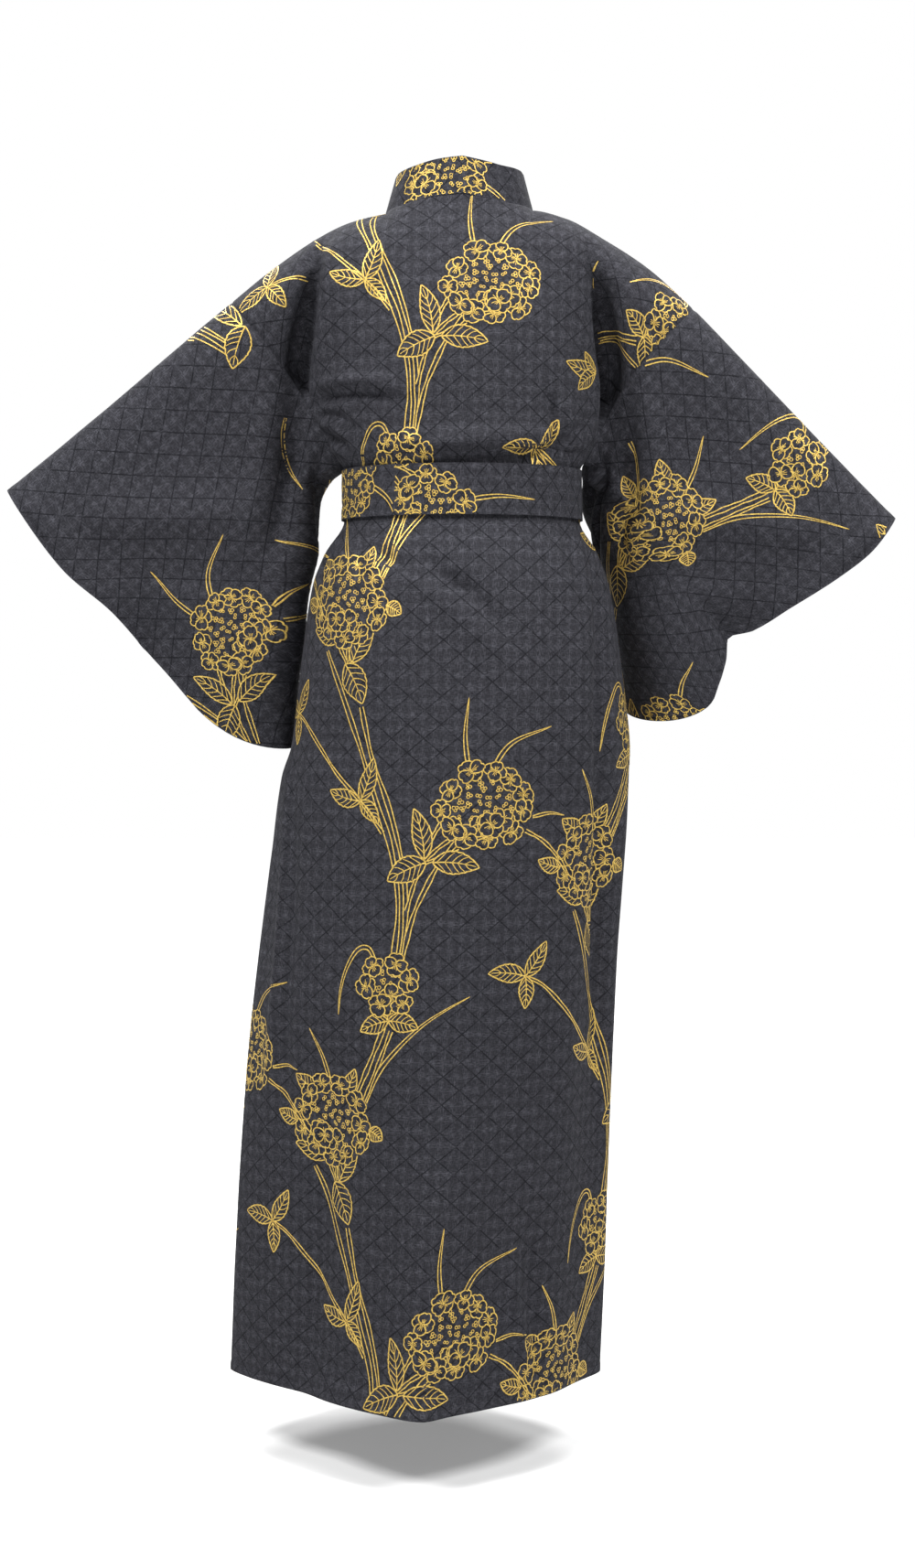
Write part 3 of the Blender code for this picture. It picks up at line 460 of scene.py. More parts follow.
def squeeze(x, z, back):
    """Share of the depth that the trough behind or before the arm takes."""
    total = 0.0
    for side, top_x, top_z, low_x, low_z, half_width, depth in TROUGHS:
        share = (z - top_z) / (low_z - top_z)
        centre = side * (top_x + share * (low_x - top_x))
        fade = ease(share, -0.15, 0.6) * (1 - ease(share, 1.0, 1.25))
        total = total + depth * fade * np.exp(-((x - centre) / half_width) ** 2)
    return total * (1.0 if back else FRONT_SQUEEZE)


def layer_apart(swell, drop, x, z, back):
    """Distance of a layer from the middle plane of the arm: its swell, less the trough."""
    return LAYERS_APART * np.minimum(drop / 0.01, 1.0) + swell * (1 - squeeze(x, z, back))


def armhole_lens(drop):
    """The armhole's opening before it rolls over the shoulder: widest on top, narrow at the armpit."""
    lens = 1 - np.minimum(drop / ARMHOLE, 1.0) ** 2.5
    return ARMPIT_SWELL + (ARMHOLE_SWELL - ARMPIT_SWELL) * lens


def armhole_swell(drop):
    """Half the width of the armhole's opening at a drop below the shoulder."""
    return armhole_lens(drop) * roll(drop, SHOULDER_ROLL)


def upper_row(shares, side, level, back):
    """Points of the back or front skin at one level between the shoulder and the armpit."""
    top_x, top_z = TOP_CURVES[side]
    inner_x, inner_z = INNER_CURVES[side]
    drop = level * ARMHOLE
    middle_top = NAPE_Z if back else THROAT_Z
    middle_z = middle_top + level * (ARMPIT_Z - middle_top)

    def top_edge(at):
        z = top_z(at)
        if not back:
            corner = top_z(NECK_SHARE)
            z = np.where(at < NECK_SHARE, corner + (1 - at / NECK_SHARE) * (middle_top - corner), z)
        return np.stack((top_x(at), z), axis=-1)

    def flat(x, z):
        return np.array((float(x), float(z)))

    low = ring(ARMPIT_Z, tube_angles(ARMPIT_Z, side, back, shares))
    low_mid, low_end = ring(ARMPIT_Z, tube_angles(ARMPIT_Z, side, back, np.array((0.0, 1.0))))
    top = top_edge(shares)
    across = shares[:, None]
    low_flat = np.stack((np.abs(low[:, 0]), np.full(len(shares), ARMPIT_Z)), axis=-1)
    spot = ((1 - level) * top + level * low_flat + (1 - across) * flat(0, middle_z)
            + across * flat(inner_x(drop), inner_z(drop))
            - (1 - across) * (1 - level) * top_edge(np.array(0.0))
            - across * (1 - level) * top_edge(np.array(1.0))
            - (1 - across) * level * flat(0, ARMPIT_Z) - across * level * flat(abs(low_end[0]), ARMPIT_Z))
    outward = 1 if back else -1
    fullness = (low[:, 1] - low_end[1]) / (low_mid[1] - low_end[1])
    swell = SLEEVE_Y + outward * armhole_swell(drop) / max(float(roll(drop, SHOULDER_ROLL)), 0.2)
    line = float((BACK_CURVE if back else FRONT_CURVE)(middle_z))
    base = fullness * outward * line + (1 - fullness) * swell
    inside = np.maximum(0.0, 1 - (shares / NECK_SHARE) ** 2)
    top_y = (outward * (NECK_BACK if back else NECK_FRONT) * np.sqrt(inside)
             + SLEEVE_Y * np.minimum(shares / NECK_SHARE, 1.0))
    y = top_y + (base - top_y) * roll(np.linalg.norm(spot - top, axis=-1), SHOULDER_ROLL)
    x = side * spot[:, 0]
    at_seam = SLEEVE_Y + outward * layer_apart(armhole_swell(drop), drop, x, spot[:, 1], back)
    y = np.where(shares > 0.999, at_seam, SLEEVE_Y + (y - SLEEVE_Y) * (1 - squeeze(x, spot[:, 1], back)))
    return np.stack((x, y, spot[:, 1]), axis=-1)


def skin_row(places, level, back):
    """Points of the back skin or the front skin at one level, for places from -1 to +1."""
    places = np.asarray(places, dtype=float)
    points = np.empty((len(places), 3))
    for side, picked in ((1, places >= 0), (-1, places < 0)):
        shares = np.abs(places[picked])
        if not len(shares):
            continue
        if level <= 1:
            points[picked] = upper_row(shares, side, level, back)
        else:
            height = level_height(level)
            points[picked] = ring(height, tube_angles(height, side, back, shares))
    return points


def front_row(places, level, inset):
    """Points of the front skin, moved in by the inset where the right front lies under the left."""
    places = np.asarray(places, dtype=float)
    points = skin_row(places, level, False)
    if inset == 0:
        return points
    step = 0.01
    across = (skin_row(np.minimum(places + step, 1.0), level, False)
              - skin_row(np.maximum(places - step, -1.0), level, False))
    down = (skin_row(places, min(level + step, 2.0), False)
            - skin_row(places, max(level - step, 0.0), False))
    inward = unit(np.cross(across, down))
    keep = (inward[:, 1] > 0) | (np.abs(places) > 0.9)
    inward = np.where(keep[:, None], inward, -inward)
    depth = inset * ease(places, *WRAP_PLACES) * ease(level, *WRAP_LEVELS)
    return points + inward * depth[:, None]


# ---------------------------------------------------------------- sleeves
def sleeve_end(along):
    """Lowest drop of the sleeve at a distance from the cuff edge: round at the outer corner."""
    rest = np.maximum(SLEEVE_CORNER - along, 0.0)
    return SLEEVE_DROP - SLEEVE_CORNER + np.sqrt(SLEEVE_CORNER ** 2 - rest ** 2)


def closed_distance(along, drop):
    """Distance in the flat cloth to the nearest sewn edge of the sleeve."""
    corner_start = SLEEVE_DROP - SLEEVE_CORNER
    in_corner = (along < SLEEVE_CORNER) & (drop > corner_start)
    round_edge = SLEEVE_CORNER - np.hypot(SLEEVE_CORNER - along, drop - corner_start)
    straight_edge = np.hypot(along, np.maximum(0.0, CUFF_OPENING - drop))
    edge = np.where(in_corner, round_edge, straight_edge)
    return np.maximum(0.0, np.minimum(edge, SLEEVE_DROP - drop))


def sleeve_swell(along, drop):
    """Half the thickness of the sleeve's bag."""
    lower = ease(drop, 0.0, SLEEVE_DROP)
    body = CUFF_SWELL + (SLEEVE_SWELL - CUFF_SWELL) * lower
    closed = np.sin(np.minimum(closed_distance(along, drop) / BAG_ROUND, 1.0) * math.pi / 2)
    bag = body * closed * roll(drop, SHOULDER_ROLL)
    closed_low = np.sin(np.clip((SLEEVE_DROP - drop) / BOTTOM_ROUND, 0.0, 1.0) * math.pi / 2)
    open_share = ease(drop, ARMHOLE, ARMHOLE + FALL_ROUND)
    fall = (ARMPIT_SWELL + (FALL_SWELL - ARMPIT_SWELL) * open_share) * closed_low
    seam = np.where(drop <= ARMHOLE, armhole_swell(drop), fall)
    return bag + (seam - bag) * ease(along, SLEEVE_WIDTH - SEAM_BLEND, SLEEVE_WIDTH)


def sleeve_points(side, along, drop, back):
    """Points of a sleeve layer: along runs from the cuff edge to the sleeve seam."""
    outer_x, outer_z = OUTER_CURVES[side]
    inner_x, inner_z = INNER_CURVES[side]
    share = along / SLEEVE_WIDTH
    x = (1 - share) * outer_x(drop) + share * inner_x(drop)
    z = (1 - share) * outer_z(drop) + share * inner_z(drop)
    middle_y = SLEEVE_Y - CUFF_FORWARD * ease(along, SLEEVE_WIDTH, 0.0)
    swell = sleeve_swell(along, drop)
    radius = TURN_RADII[side]
    offset = (1 if back else -1) * layer_apart(swell, drop, side * x, z, back)
    turn_x = TURN_CURVES[side](z) + radius + LAYERS_APART + swell
    beyond = np.where(drop <= ARMHOLE, 0.0, np.maximum(turn_x - x, 0.0))
    bend = np.minimum(beyond / radius, TURN_ANGLES[side])
    straight = beyond - bend * radius
    plan_x = np.where(beyond > 0, turn_x, x) - radius * np.sin(bend) - straight * np.cos(bend)
    plan_y = middle_y - radius * (1 - np.cos(bend)) - straight * np.sin(bend)
    return np.stack((side * (plan_x - np.sin(bend) * offset), plan_y + np.cos(bend) * offset, z), axis=-1)


# ---------------------------------------------------------------- cloth
def crease_lift(flat, creases):
    """Height of the creases above the cloth at chart places."""
    spots = flat.reshape(-1, 2)
    lift = np.zeros(len(spots))
    for half_width, height, steep, points in creases:
        path = evenly(spline(metres(points), 0.01), CREASE_STEP)
        lengths = run_lengths(path, 0)
        nearest = np.full(len(spots), 1e9)
        side = np.zeros(len(spots))
        along = np.zeros(len(spots))
        for start, end, from_start in zip(path, path[1:], lengths):
            run = end - start
            size = np.linalg.norm(run)
            off = spots - start
            share = np.clip((off @ run) / size ** 2, 0.0, 1.0)
            gap = off - share[:, None] * run
            distance = np.hypot(gap[:, 0], gap[:, 1])
            closer = distance < nearest
            nearest = np.where(closer, distance, nearest)
            side = np.where(closer, run[0] * off[:, 1] - run[1] * off[:, 0], side)
            along = np.where(closer, from_start + share * size, along)
        along /= lengths[-1]
        fade = CREASE_END + (1 - CREASE_END) * ease(along, 0.0, CREASE_FADE)
        fade = fade * (CREASE_END + (1 - CREASE_END) * (1 - ease(along, 1 - CREASE_FADE, 1.0)))
        width = np.where(side > 0, half_width * steep, half_width)
        lift += height * fade * np.exp(-(nearest / width) ** 2)
    return lift.reshape(flat.shape[:-1])


def soft_unevenness(p, q, seed, height):
    """Slow shallow waves, so that no stretch of cloth is quite flat."""
    chance = random.Random(seed)
    lift = np.zeros_like(p)
    for octave in WAVES:
        for _ in range(3):
            turn = chance.uniform(0, 2 * math.pi)
            phase = chance.uniform(0, 2 * math.pi)
            wave = octave * (p * math.cos(turn) + 0.55 * q * math.sin(turn))
            lift += height * 20.0 / octave * np.sin(wave + phase + 1.3 * np.sin(0.45 * wave + 2 * phase))
    return lift


class Cloth:
    """A panel as a grid of points, with its place on the flat cloth."""

    def __init__(self, name, grid, chart, outward, edges=(), creases=(), seed=1, out=CLOTH_OUT,
                 wave=0.00016):
        """The edges say what the top, bottom, first and last edge are: a seam, a hem or nothing."""
        self.name = name
        self.chart = chart
        normals = unit(np.cross(np.gradient(grid, axis=1), np.gradient(grid, axis=0)))
        centre = normals[len(grid) // 2, len(grid[0]) // 2]
        self.turned = float(np.dot(centre, outward)) < 0
        if self.turned:
            normals = -normals
        down = run_lengths(grid, 0)
        across = run_lengths(grid, 1)
        distances = (down, down[-1:] - down, across, across[:, -1:] - across)
        lift = out + crease_lift(chart, creases)
        lift += soft_unevenness(chart[..., 0], chart[..., 1], seed, wave)
        for kind, distance in zip(edges, distances):
            if kind == "seam":
                lift *= 1 - np.exp(-(distance / SEAM_REACH) ** 2)
            elif kind == "hem":
                lift += HEM_LIFT * (1 - ease(distance, HEM_TURN - HEM_SOFT, HEM_TURN + HEM_SOFT))
                groove = np.exp(-((distance - HEM_TURN) / HEM_GROOVE) ** 2)
                lift -= HEM_GROOVE_SHARE * HEM_LIFT * groove
        self.points = grid + normals * lift[..., None]
        self.normals = unit(np.cross(np.gradient(self.points, axis=1), np.gradient(self.points, axis=0)))
        if self.turned:
            self.normals = -self.normals

    def meet(self, own, other, others):
        """Bring an edge of this cloth and an edge of another together."""
        mean = (self.points[own] + other.points[others]) / 2
        self.points[own] = mean
        other.points[others] = mean

    def mesh_object(self, material, troughs=False, thickness=CLOTH_THICKNESS):
        """The panel as a thin shell. Its weave turns at the troughs, where the cloth follows the arm."""
        rows, columns = self.points.shape[:2]
        index = np.arange(rows * columns).reshape(rows, columns)
        quads = np.stack((index[:-1, :-1], index[1:, :-1], index[1:, 1:], index[:-1, 1:]), axis=-1)
        quads = quads.reshape(-1, 4)
        if not self.turned:
            quads = quads[:, ::-1]
        mesh = bpy.data.meshes.new(self.name)
        mesh.from_pydata(self.points.reshape(-1, 3).tolist(), [], quads.tolist())
        layer = mesh.uv_layers.new(name="cloth")
        corners = self.chart.reshape(-1, 2)[quads]
        if troughs:
            middle = self.points.reshape(-1, 3)[quads].mean(axis=1)
            for sign in (1, -1):
                outside = outside_trough(middle, sign)
                corners[outside] = arm_chart(self, sign).reshape(-1, 2)[quads[outside]]
        layer.data.foreach_set("uv", corners.astype(np.float32).reshape(-1))
        mesh.materials.append(material)
        thing = added(self.name, mesh)
        thicken(thing, thickness)
        return thing


def outside_trough(spots, sign):
    """Which spots of the body lie outside the trough of one side, above the armpit."""
    _, top_x, top_z, low_x, low_z, _, _ = TROUGHS[0 if sign > 0 else 1]
    share = (spots[..., 2] - top_z) / (low_z - top_z)
    return (sign * spots[..., 0] > top_x + share * (low_x - top_x)) & (spots[..., 2] > ARMPIT_Z)


def arm_chart(cloth, sign):
    """Chart that follows the arm: distance from the cuff edge, and down from the shoulder."""
    across = run_lengths(cloth.points, 1)
    ends_at_seam = cloth.points[0, -1, 0] * sign > cloth.points[0, 0, 0] * sign
    from_seam = across[:, -1:] - across if ends_at_seam else across
    return np.stack((SLEEVE_WIDTH + from_seam, run_lengths(cloth.points, 0)), axis=-1)


def thicken(thing, thickness):
    """Give an open sheet its thickness, inward."""
    bpy.ops.object.select_all(action="DESELECT")
    bpy.context.view_layer.objects.active = thing
    thing.select_set(True)
    wall = thing.modifiers.new("thickness", "SOLIDIFY")
    wall.thickness = thickness
    wall.offset = -1.0
    wall.use_even_offset = False
    bpy.ops.object.modifier_apply(modifier="thickness")
    thing.data.shade_smooth()
    thing.data.set_sharp_from_angle(angle=SHARP_ANGLE)


# ---------------------------------------------------------------- panels
UPPER_ROWS = np.concatenate((TOP_LEVELS, np.linspace(TOP_LEVELS[-1], 1.0, 57)[1:]))
LOWER_HEIGHTS = np.concatenate((
    np.arange(ARMPIT_Z - ROW_STEP, HEM_Z + HEM_STEPS[0] + ROW_STEP / 2, -ROW_STEP),
    HEM_Z + np.array(HEM_STEPS)))
LOWER_ROWS = height_level(LOWER_HEIGHTS)


def okumi_top():
    """Level at which the front edge passes the middle of the front."""
    levels = np.linspace(0.4, 0.8, 4001)
    return float(levels[np.argmax(EDGE_CURVE(levels) < OKUMI_TOP_EDGE)])


OKUMI_TOP = okumi_top()
ALL_ROWS = np.unique(np.round(np.concatenate((UPPER_ROWS, LOWER_ROWS, [OKUMI_TOP])), 7))
ARMHOLE_ROWS = ALL_ROWS[ALL_ROWS <= 1.0]
ARMPIT_ROW = len(ARMHOLE_ROWS) - 1


def edge_spread(count):
    """Shares from 0 to 1, closer together at both ends."""
    inner = np.linspace(0.045, 0.955, count - 7)
    ends = np.array(EDGE_SHARES)
    return np.concatenate((ends, inner, 1 - ends[::-1]))


OUTER_SHARES = edge_spread(OUTER_COLUMNS)
HALF_PLACES = np.concatenate((np.linspace(0, NECK_SHARE, NECK_COLUMNS + 1)[:-1],
                              NECK_SHARE + (1 - NECK_SHARE) * OUTER_SHARES))
BACK_PLACES = np.concatenate((-HALF_PLACES[:0:-1], HALF_PLACES))


def body_chart(grid, middle_column, armpit_row):
    """Chart of a body panel: length round the body from a column, and height.

    Above the armpit the height grows with the cloth's own length, so that the roll over the shoulder
    isn't drawn out.
    """
    round_body = run_lengths(grid[..., :2], 1)
    p = round_body - round_body[:, middle_column][:, None]
    if grid[len(grid) // 2, -1, 0] < grid[len(grid) // 2, 0, 0]:
        p = -p
    q = grid[..., 2].copy()
    lengths = run_lengths(grid[..., 1:], 0)
    q[:armpit_row] = q[armpit_row] + lengths[armpit_row] - lengths[:armpit_row]
    return np.stack((p, q), axis=-1)


def back_cloth():
    """Both halves of the back, from the neck and shoulders down to the hem."""
    grid = np.array([skin_row(BACK_PLACES, level, True) for level in ALL_ROWS])
    chart = body_chart(grid, len(HALF_PLACES) - 1, ARMPIT_ROW)
    return Cloth("back_cloth", grid, chart, (0, 1, 0), (None, "hem", "seam", "seam"), BACK_CREASES, seed=3)


def front_cloth(name, side, inset):
    """Front from its neckline, and lower down from the overlap panel's seam, out to the side seam."""
    shares = edge_spread(FRONT_COLUMNS)
    rows = []
    for level in ALL_ROWS:
        inner = max(float(EDGE_CURVE(level)), 0.0)
        rows.append(front_row(side * (inner + (1 - inner) * shares), level, inset))
    grid = np.array(rows)
    chart = body_chart(grid, 0, ARMPIT_ROW)
    chart[..., 0] = np.abs(chart[..., 0])
    chart[..., 0] += np.abs(grid[:, :1, 0])
    return Cloth(name, grid, chart, (0, -1, 0), (None, "hem", "seam", "seam"), FRONT_CREASES, seed=5 + side)


def okumi_cloth(name, side, inset):
    """Narrow overlap panel, from its point at the chest down to the hem."""
    levels = ALL_ROWS[ALL_ROWS >= OKUMI_TOP - 1e-6]
    shares = edge_spread(OKUMI_COLUMNS)
    rows = [front_row(side * float(EDGE_CURVE(level)) * (1 - shares), level, inset) for level in levels]
    grid = np.array(rows)
    armpit_row = int(np.argmin(np.abs(levels - 1.0)))
    chart = body_chart(grid, len(shares) - 1, armpit_row)
    chart[..., 0] = np.abs(chart[..., 0])
    return Cloth(name, grid, chart, (0, -1, 0), ("seam", "hem", "hem", "seam"), OKUMI_CREASES,
                 seed=11 + side)


def sleeve_cloth(name, side, back):
    """One layer of a sleeve, from the sleeve seam out to the cuff."""
    alongs = SLEEVE_WIDTH * (1 - edge_spread(SLEEVE_COLUMNS))
    drops = np.concatenate((ARMHOLE_ROWS * ARMHOLE,
                            ARMHOLE + (SLEEVE_DROP - ARMHOLE) * edge_spread(44)[3:]))
    along, drop = np.meshgrid(alongs, drops)
    ends = sleeve_end(along)
    start = ARMHOLE * 0.75
    drop = np.where(drop > start, start + (drop - start) * (ends - start) / (SLEEVE_DROP - start), drop)
    grid = sleeve_points(side, along, drop, back)
    chart = np.stack((along, drop), axis=-1)
    return Cloth(name, grid, chart, (0, 1 if back else -1, 0), (None, "seam", "seam", "hem"),
                 SLEEVE_CREASES + (RIGHT_SLEEVE_CREASES if side < 0 else ()), seed=20 + 2 * side + back)


def collar_station(side, level, shares, inset):
    """Points across the band where it lies on a front's edge."""
    base_place = float(EDGE_CURVE(level))
    base = front_row([side * base_place], level, inset)[0]
    stand = 1 - ease(level, 0.0, COLLAR_LIES)
    far = 0.9
    row = skin_row([far, 0.0], level, False)
    row_length = np.linalg.norm(row[0] - row[1]) / far
    slant = COLLAR_SLANTS[0 if level < 1 else 1]
    shift = COLLAR_WIDTH / slant / max(row_length, 0.15)
    points = []
    for share in shares:
        down = max(level - COLLAR_DROP * share * (level < 1), 0.0)
        lying = front_row([side * (base_place - shift * share)], down, inset)[0]
        lift = np.array((-side * COLLAR_LEAN[0], COLLAR_LEAN[1], COLLAR_STAND)) * share
        points.append((1 - stand) * lying + stand * (base + lift))
    return points


def collar_cloth():
    """One long band: up the left front, round the neck and down the right front."""
    shares = np.linspace(0.0, 1.0, 11)
    end_level = height_level(COLLAR_END_Z)
    levels = [level for level in ALL_ROWS[2:] if level < end_level]
    levels.append(end_level)
    stations = [collar_station(1, level, shares, 0.0) for level in reversed(levels)]
    neck_places = np.linspace(NECK_SHARE, -NECK_SHARE, 2 * NECK_COLUMNS + 1)
    neck = skin_row(neck_places, 0.0, True)
    for place, base in zip(neck_places, neck):
        forward = NECK_LEAN[1] * (1 - abs(place) / NECK_SHARE)
        lean = np.array((NECK_LEAN[0] * base[0], forward, COLLAR_STAND))
        stations.append([base + lean * share for share in shares])
    stations += [collar_station(-1, level, shares, WRAP_INSET) for level in levels]
    grid = np.array(stations)
    along = run_lengths(grid, 0).mean(axis=1)
    middle = along[len(levels) + NECK_COLUMNS]
    chart = flat_chart(shares * COLLAR_WIDTH, along - middle)[..., ::-1]
    return Cloth("collar_band", grid, chart, (0, 1, 0), seed=31, out=BAND_THICKNESS / 2 + COLLAR_OUT,
                 wave=0.0001)


def belt_cloth(name, start, end):
    """Length of belt round the waist between two angles."""
    columns = int(abs(end - start) / 0.045)
    angles = np.linspace(start, end, columns + 1)
    heights = np.linspace(BELT_TOP, BELT_BOTTOM, 11)
    rows = []
    for height in heights:
        points = ring(height, angles)
        ahead = ring(height, angles + 0.01) - ring(height, angles - 0.01)
        outward = unit(np.stack((-ahead[:, 1], ahead[:, 0], 0 * ahead[:, 0]), axis=-1))
        outward *= np.sign(np.sum(outward * points * (1, 1, 0), axis=1))[:, None]
        rows.append(points + outward * BELT_OUT)
    grid = np.array(rows)
    chart = flat_chart(run_lengths(grid, 1)[5], heights)
    middle = grid[5, columns // 2]
    return Cloth(name, grid, chart, (middle[0], middle[1], 0.0), (), BELT_CREASES, seed=41 + columns,
                 out=BAND_THICKNESS / 2, wave=0.00015)


def belt_end_cloth(name, side):
    """Free end of the belt, hanging on the skirt's front below the knot."""
    top = (BELT_TOP + BELT_BOTTOM) / 2 - KNOT_HEIGHT / 2
    shares = np.linspace(0.0, 1.0, 61)
    steps = np.linspace(-0.5, 0.5, 13)
    rows = []
    for share in shares:
        height = top - END_LENGTH * share
        width = END_NARROW + (END_WIDTH - END_NARROW) * float(ease(share, 0.0, END_SPREAD))
        centre = side * (END_GAP + width / 2 + END_SPLAY * share)
        x = centre + width * steps
        reach = float(TUBE_CURVES[4](height)) - float(skirt_fold(math.pi, height))
        y = -reach * np.sqrt(np.maximum(0.0, 1 - (x / float(TUBE_CURVES[1](height))) ** 2))
        y -= END_OUT - END_FALL * float(ease(share, 0.1, 0.5)) + END_CUP * np.cos(steps * 2 * math.pi)
        pleat = END_PLEAT * math.exp(-(share / END_PLEAT_RUN) ** 2) * np.cos(steps * 6 * math.pi)
        rows.append(np.stack((x, np.minimum(y, END_FRONT) - pleat, height + 0 * x), axis=-1))
    grid = np.array(rows)
    chart = flat_chart(steps * END_WIDTH, -shares * END_LENGTH)
    return Cloth(name, grid, chart, (0, -1, 0), seed=51 + side, out=BAND_THICKNESS / 2, wave=0.0002)


def knot_cloth():
    """Folded belt wrapped round the crossing, pleated where it is drawn in."""
    low, high = (np.array(corner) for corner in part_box("belt_knot"))
    centre, half = (low + high) / 2, (high - low) / 2
    across = np.linspace(-1.0, 1.0, 45)
    turns = np.linspace(-math.pi, math.pi, 49)
    height, count, slant = KNOT_PLEATS
    low_height, low_count, start = KNOT_CREASE
    rows = []
    for turn in turns:
        pleat = height * np.cos(count * math.pi * (across + slant * math.sin(turn)))
        pleat = pleat + low_height * np.cos(low_count * across + start)
        drawn = KNOT_DRAWN[0] + KNOT_DRAWN[1] * (1 - np.abs(across) ** KNOT_ROUND) ** 0.5
        deep = abs(math.cos(turn)) ** KNOT_SQUARE * math.copysign(1, math.cos(turn))
        tall = abs(math.sin(turn)) ** KNOT_SQUARE * math.copysign(1, math.sin(turn))
        y = centre[1] - half[1] * deep * drawn * (1 + pleat - 0.06)
        narrowed = KNOT_TALL[0] + KNOT_TALL[1] * drawn
        z = centre[2] + half[2] * tall * narrowed * (1 + 0.4 * pleat - 0.03)
        rows.append(np.stack((centre[0] + half[0] * 0.97 * across, y, z), axis=-1))
    grid = np.array(rows)
    round_knot = run_lengths(grid, 0)[:, 22]
    chart = flat_chart(half[0] * across, round_knot)
    return Cloth("belt_knot_band", grid, chart, (0, -1, 0), seed=61, out=0.0, wave=0.0001)


# ---------------------------------------------------------------- print: line drawing on flat cloth
PEN_STEP = 0.0011
FLOWER_LINE = 0.00138
HATCH_LINE = 0.0008
BEAD_LINE = 0.0010
BEAD_RADIUS = 0.0019
MIDDLE_BEAD = 0.0012                 # radius of a bead in the middle of a flower
BEAD_SPACING = 0.0062                # of their clusters
BEAD_TURN = 2.39996                  # from each cluster to the next
BEAD_SIDES = 6
BEADS_REACH = 0.62                   # share of a head's radius that the beads fill
LEAF_LINE = 0.0016
VEIN_LINE = 0.0012
STEM_LINE = 0.0014
BLADE_LINE = 0.0016
FLOWER_RADIUS = 0.0156
PETAL_RADIUS, PETAL_OUT, PETAL_TALL = 0.50, 0.52, 1.10
PETAL_WAVE = 0.06                    # unevenness of a petal's rim
RAYS = (-0.55, 0.0, 0.55)            # hatches in a petal, from side to side
LEAF_TEETH, TOOTH_HEIGHT = 8.0, 0.09
VEINS = 5
VEIN_START, VEIN_APART, VEIN_REACH = 0.10, 0.15, 0.19
NOTCH_DEPTH, NOTCH_WIDTH = 0.26, 0.20
CURVE_STEP = 0.003                   # of stems and blades
REPEAT_REACH = 0.75                  # how far a repeat can reach from its big head
REPEATS = range(-5, 6)


def inside(points, outline):
    """Which points lie inside a closed outline."""
    x, y = points[:, :1], points[:, 1:]
    start, end = outline, np.roll(outline, -1, axis=0)
    over = (start[:, 1] > y) != (end[:, 1] > y)
    rise = np.where(end[:, 1] == start[:, 1], 1e-12, end[:, 1] - start[:, 1])
    cross = start[:, 0] + (y - start[:, 1]) * (end[:, 0] - start[:, 0]) / rise
    return (over & (x < cross)).sum(axis=1) % 2 == 1


class Drawing:
    """Lines of the print in metres, x to the right and y up; a later shape hides what it covers."""

    def __init__(self):
        self.lines = []

    def line(self, points, width, end_width=None):
        points = evenly(np.asarray(points, dtype=float), PEN_STEP)
        widths = np.linspace(width, width if end_width is None else end_width, len(points))
        self.lines.append((points, widths))

    def hide(self, outline):
        low, high = outline.min(axis=0), outline.max(axis=0)
        kept = []
        for points, widths in self.lines:
            if (points.max(axis=0) < low).any() or (points.min(axis=0) > high).any():
                kept.append((points, widths))
                continue
            seen = ~inside(points, outline)
            edges = np.flatnonzero(np.diff(np.concatenate(([False], seen, [False])).astype(int)))
            for start, stop in zip(edges[::2], edges[1::2]):
                if stop - start > 1:
                    kept.append((points[start:stop], widths[start:stop]))
        self.lines = kept

    def shape(self, outline, width):
        self.hide(outline)
        self.line(np.concatenate((outline, outline[:1])), width)


def turned(points, centre, turn):
    """Local points turned and moved to their place."""
    points = np.asarray(points, dtype=float)
    cos, sin = math.cos(turn), math.sin(turn)
    return np.stack((centre[0] + points[:, 0] * cos - points[:, 1] * sin,
                     centre[1] + points[:, 0] * sin + points[:, 1] * cos), axis=-1)


def spot_around(centre, turn, reach, tall, angle):
    """Place at an angle and reach round a centre, squashed by the height and then turned."""
    return turned([(reach * math.cos(angle), reach * tall * math.sin(angle))], centre, turn)[0]


def circle(centre, radius, count):
    turn = np.linspace(0, 2 * math.pi, count, endpoint=False)
    return np.stack((centre[0] + radius * np.cos(turn), centre[1] + radius * np.sin(turn)), axis=-1)


def flower(drawing, centre, radius, turn, squash, facing, chance):
    """Four round petals, each notched at its rim and hatched from the middle, round a few beads."""
    def placed(points):
        points = np.asarray(points, dtype=float).copy()
        points[:, 0] *= squash
        return turned(points, centre, facing)

    for quarter in (0, 2, 1, 3):
        angle = turn + quarter * math.pi / 2 + chance.uniform(-0.14, 0.14)
        size = radius * chance.uniform(0.90, 1.06)
        t = np.linspace(-math.pi, math.pi, 26, endpoint=False)
        rim = PETAL_RADIUS * size * (1 + PETAL_WAVE * np.sin(3 * t + chance.uniform(0, 6)))
        rim = rim * (1 - NOTCH_DEPTH * np.exp(-(t / NOTCH_WIDTH) ** 2))
        outline = np.stack((PETAL_OUT * size + rim * np.cos(t), PETAL_TALL * rim * np.sin(t)), axis=-1)
        drawing.shape(placed(turned(outline, (0, 0), angle)), FLOWER_LINE)
        for ray in RAYS:
            start, end = 0.20 * size, size * chance.uniform(0.36, 0.60)
            bent = angle + ray * 0.62
            stroke = [(start * math.cos(angle + ray * 0.8), start * math.sin(angle + ray * 0.8)),
                      (end * math.cos(bent), end * math.sin(bent))]
            drawing.line(placed(stroke), HATCH_LINE)
    for bead in range(3):
        angle = turn + 0.6 + bead * 2.1
        spot = placed([(0.11 * radius * math.cos(angle), 0.11 * radius * math.sin(angle))])[0]
        drawing.shape(circle(spot, MIDDLE_BEAD, BEAD_SIDES), HATCH_LINE)


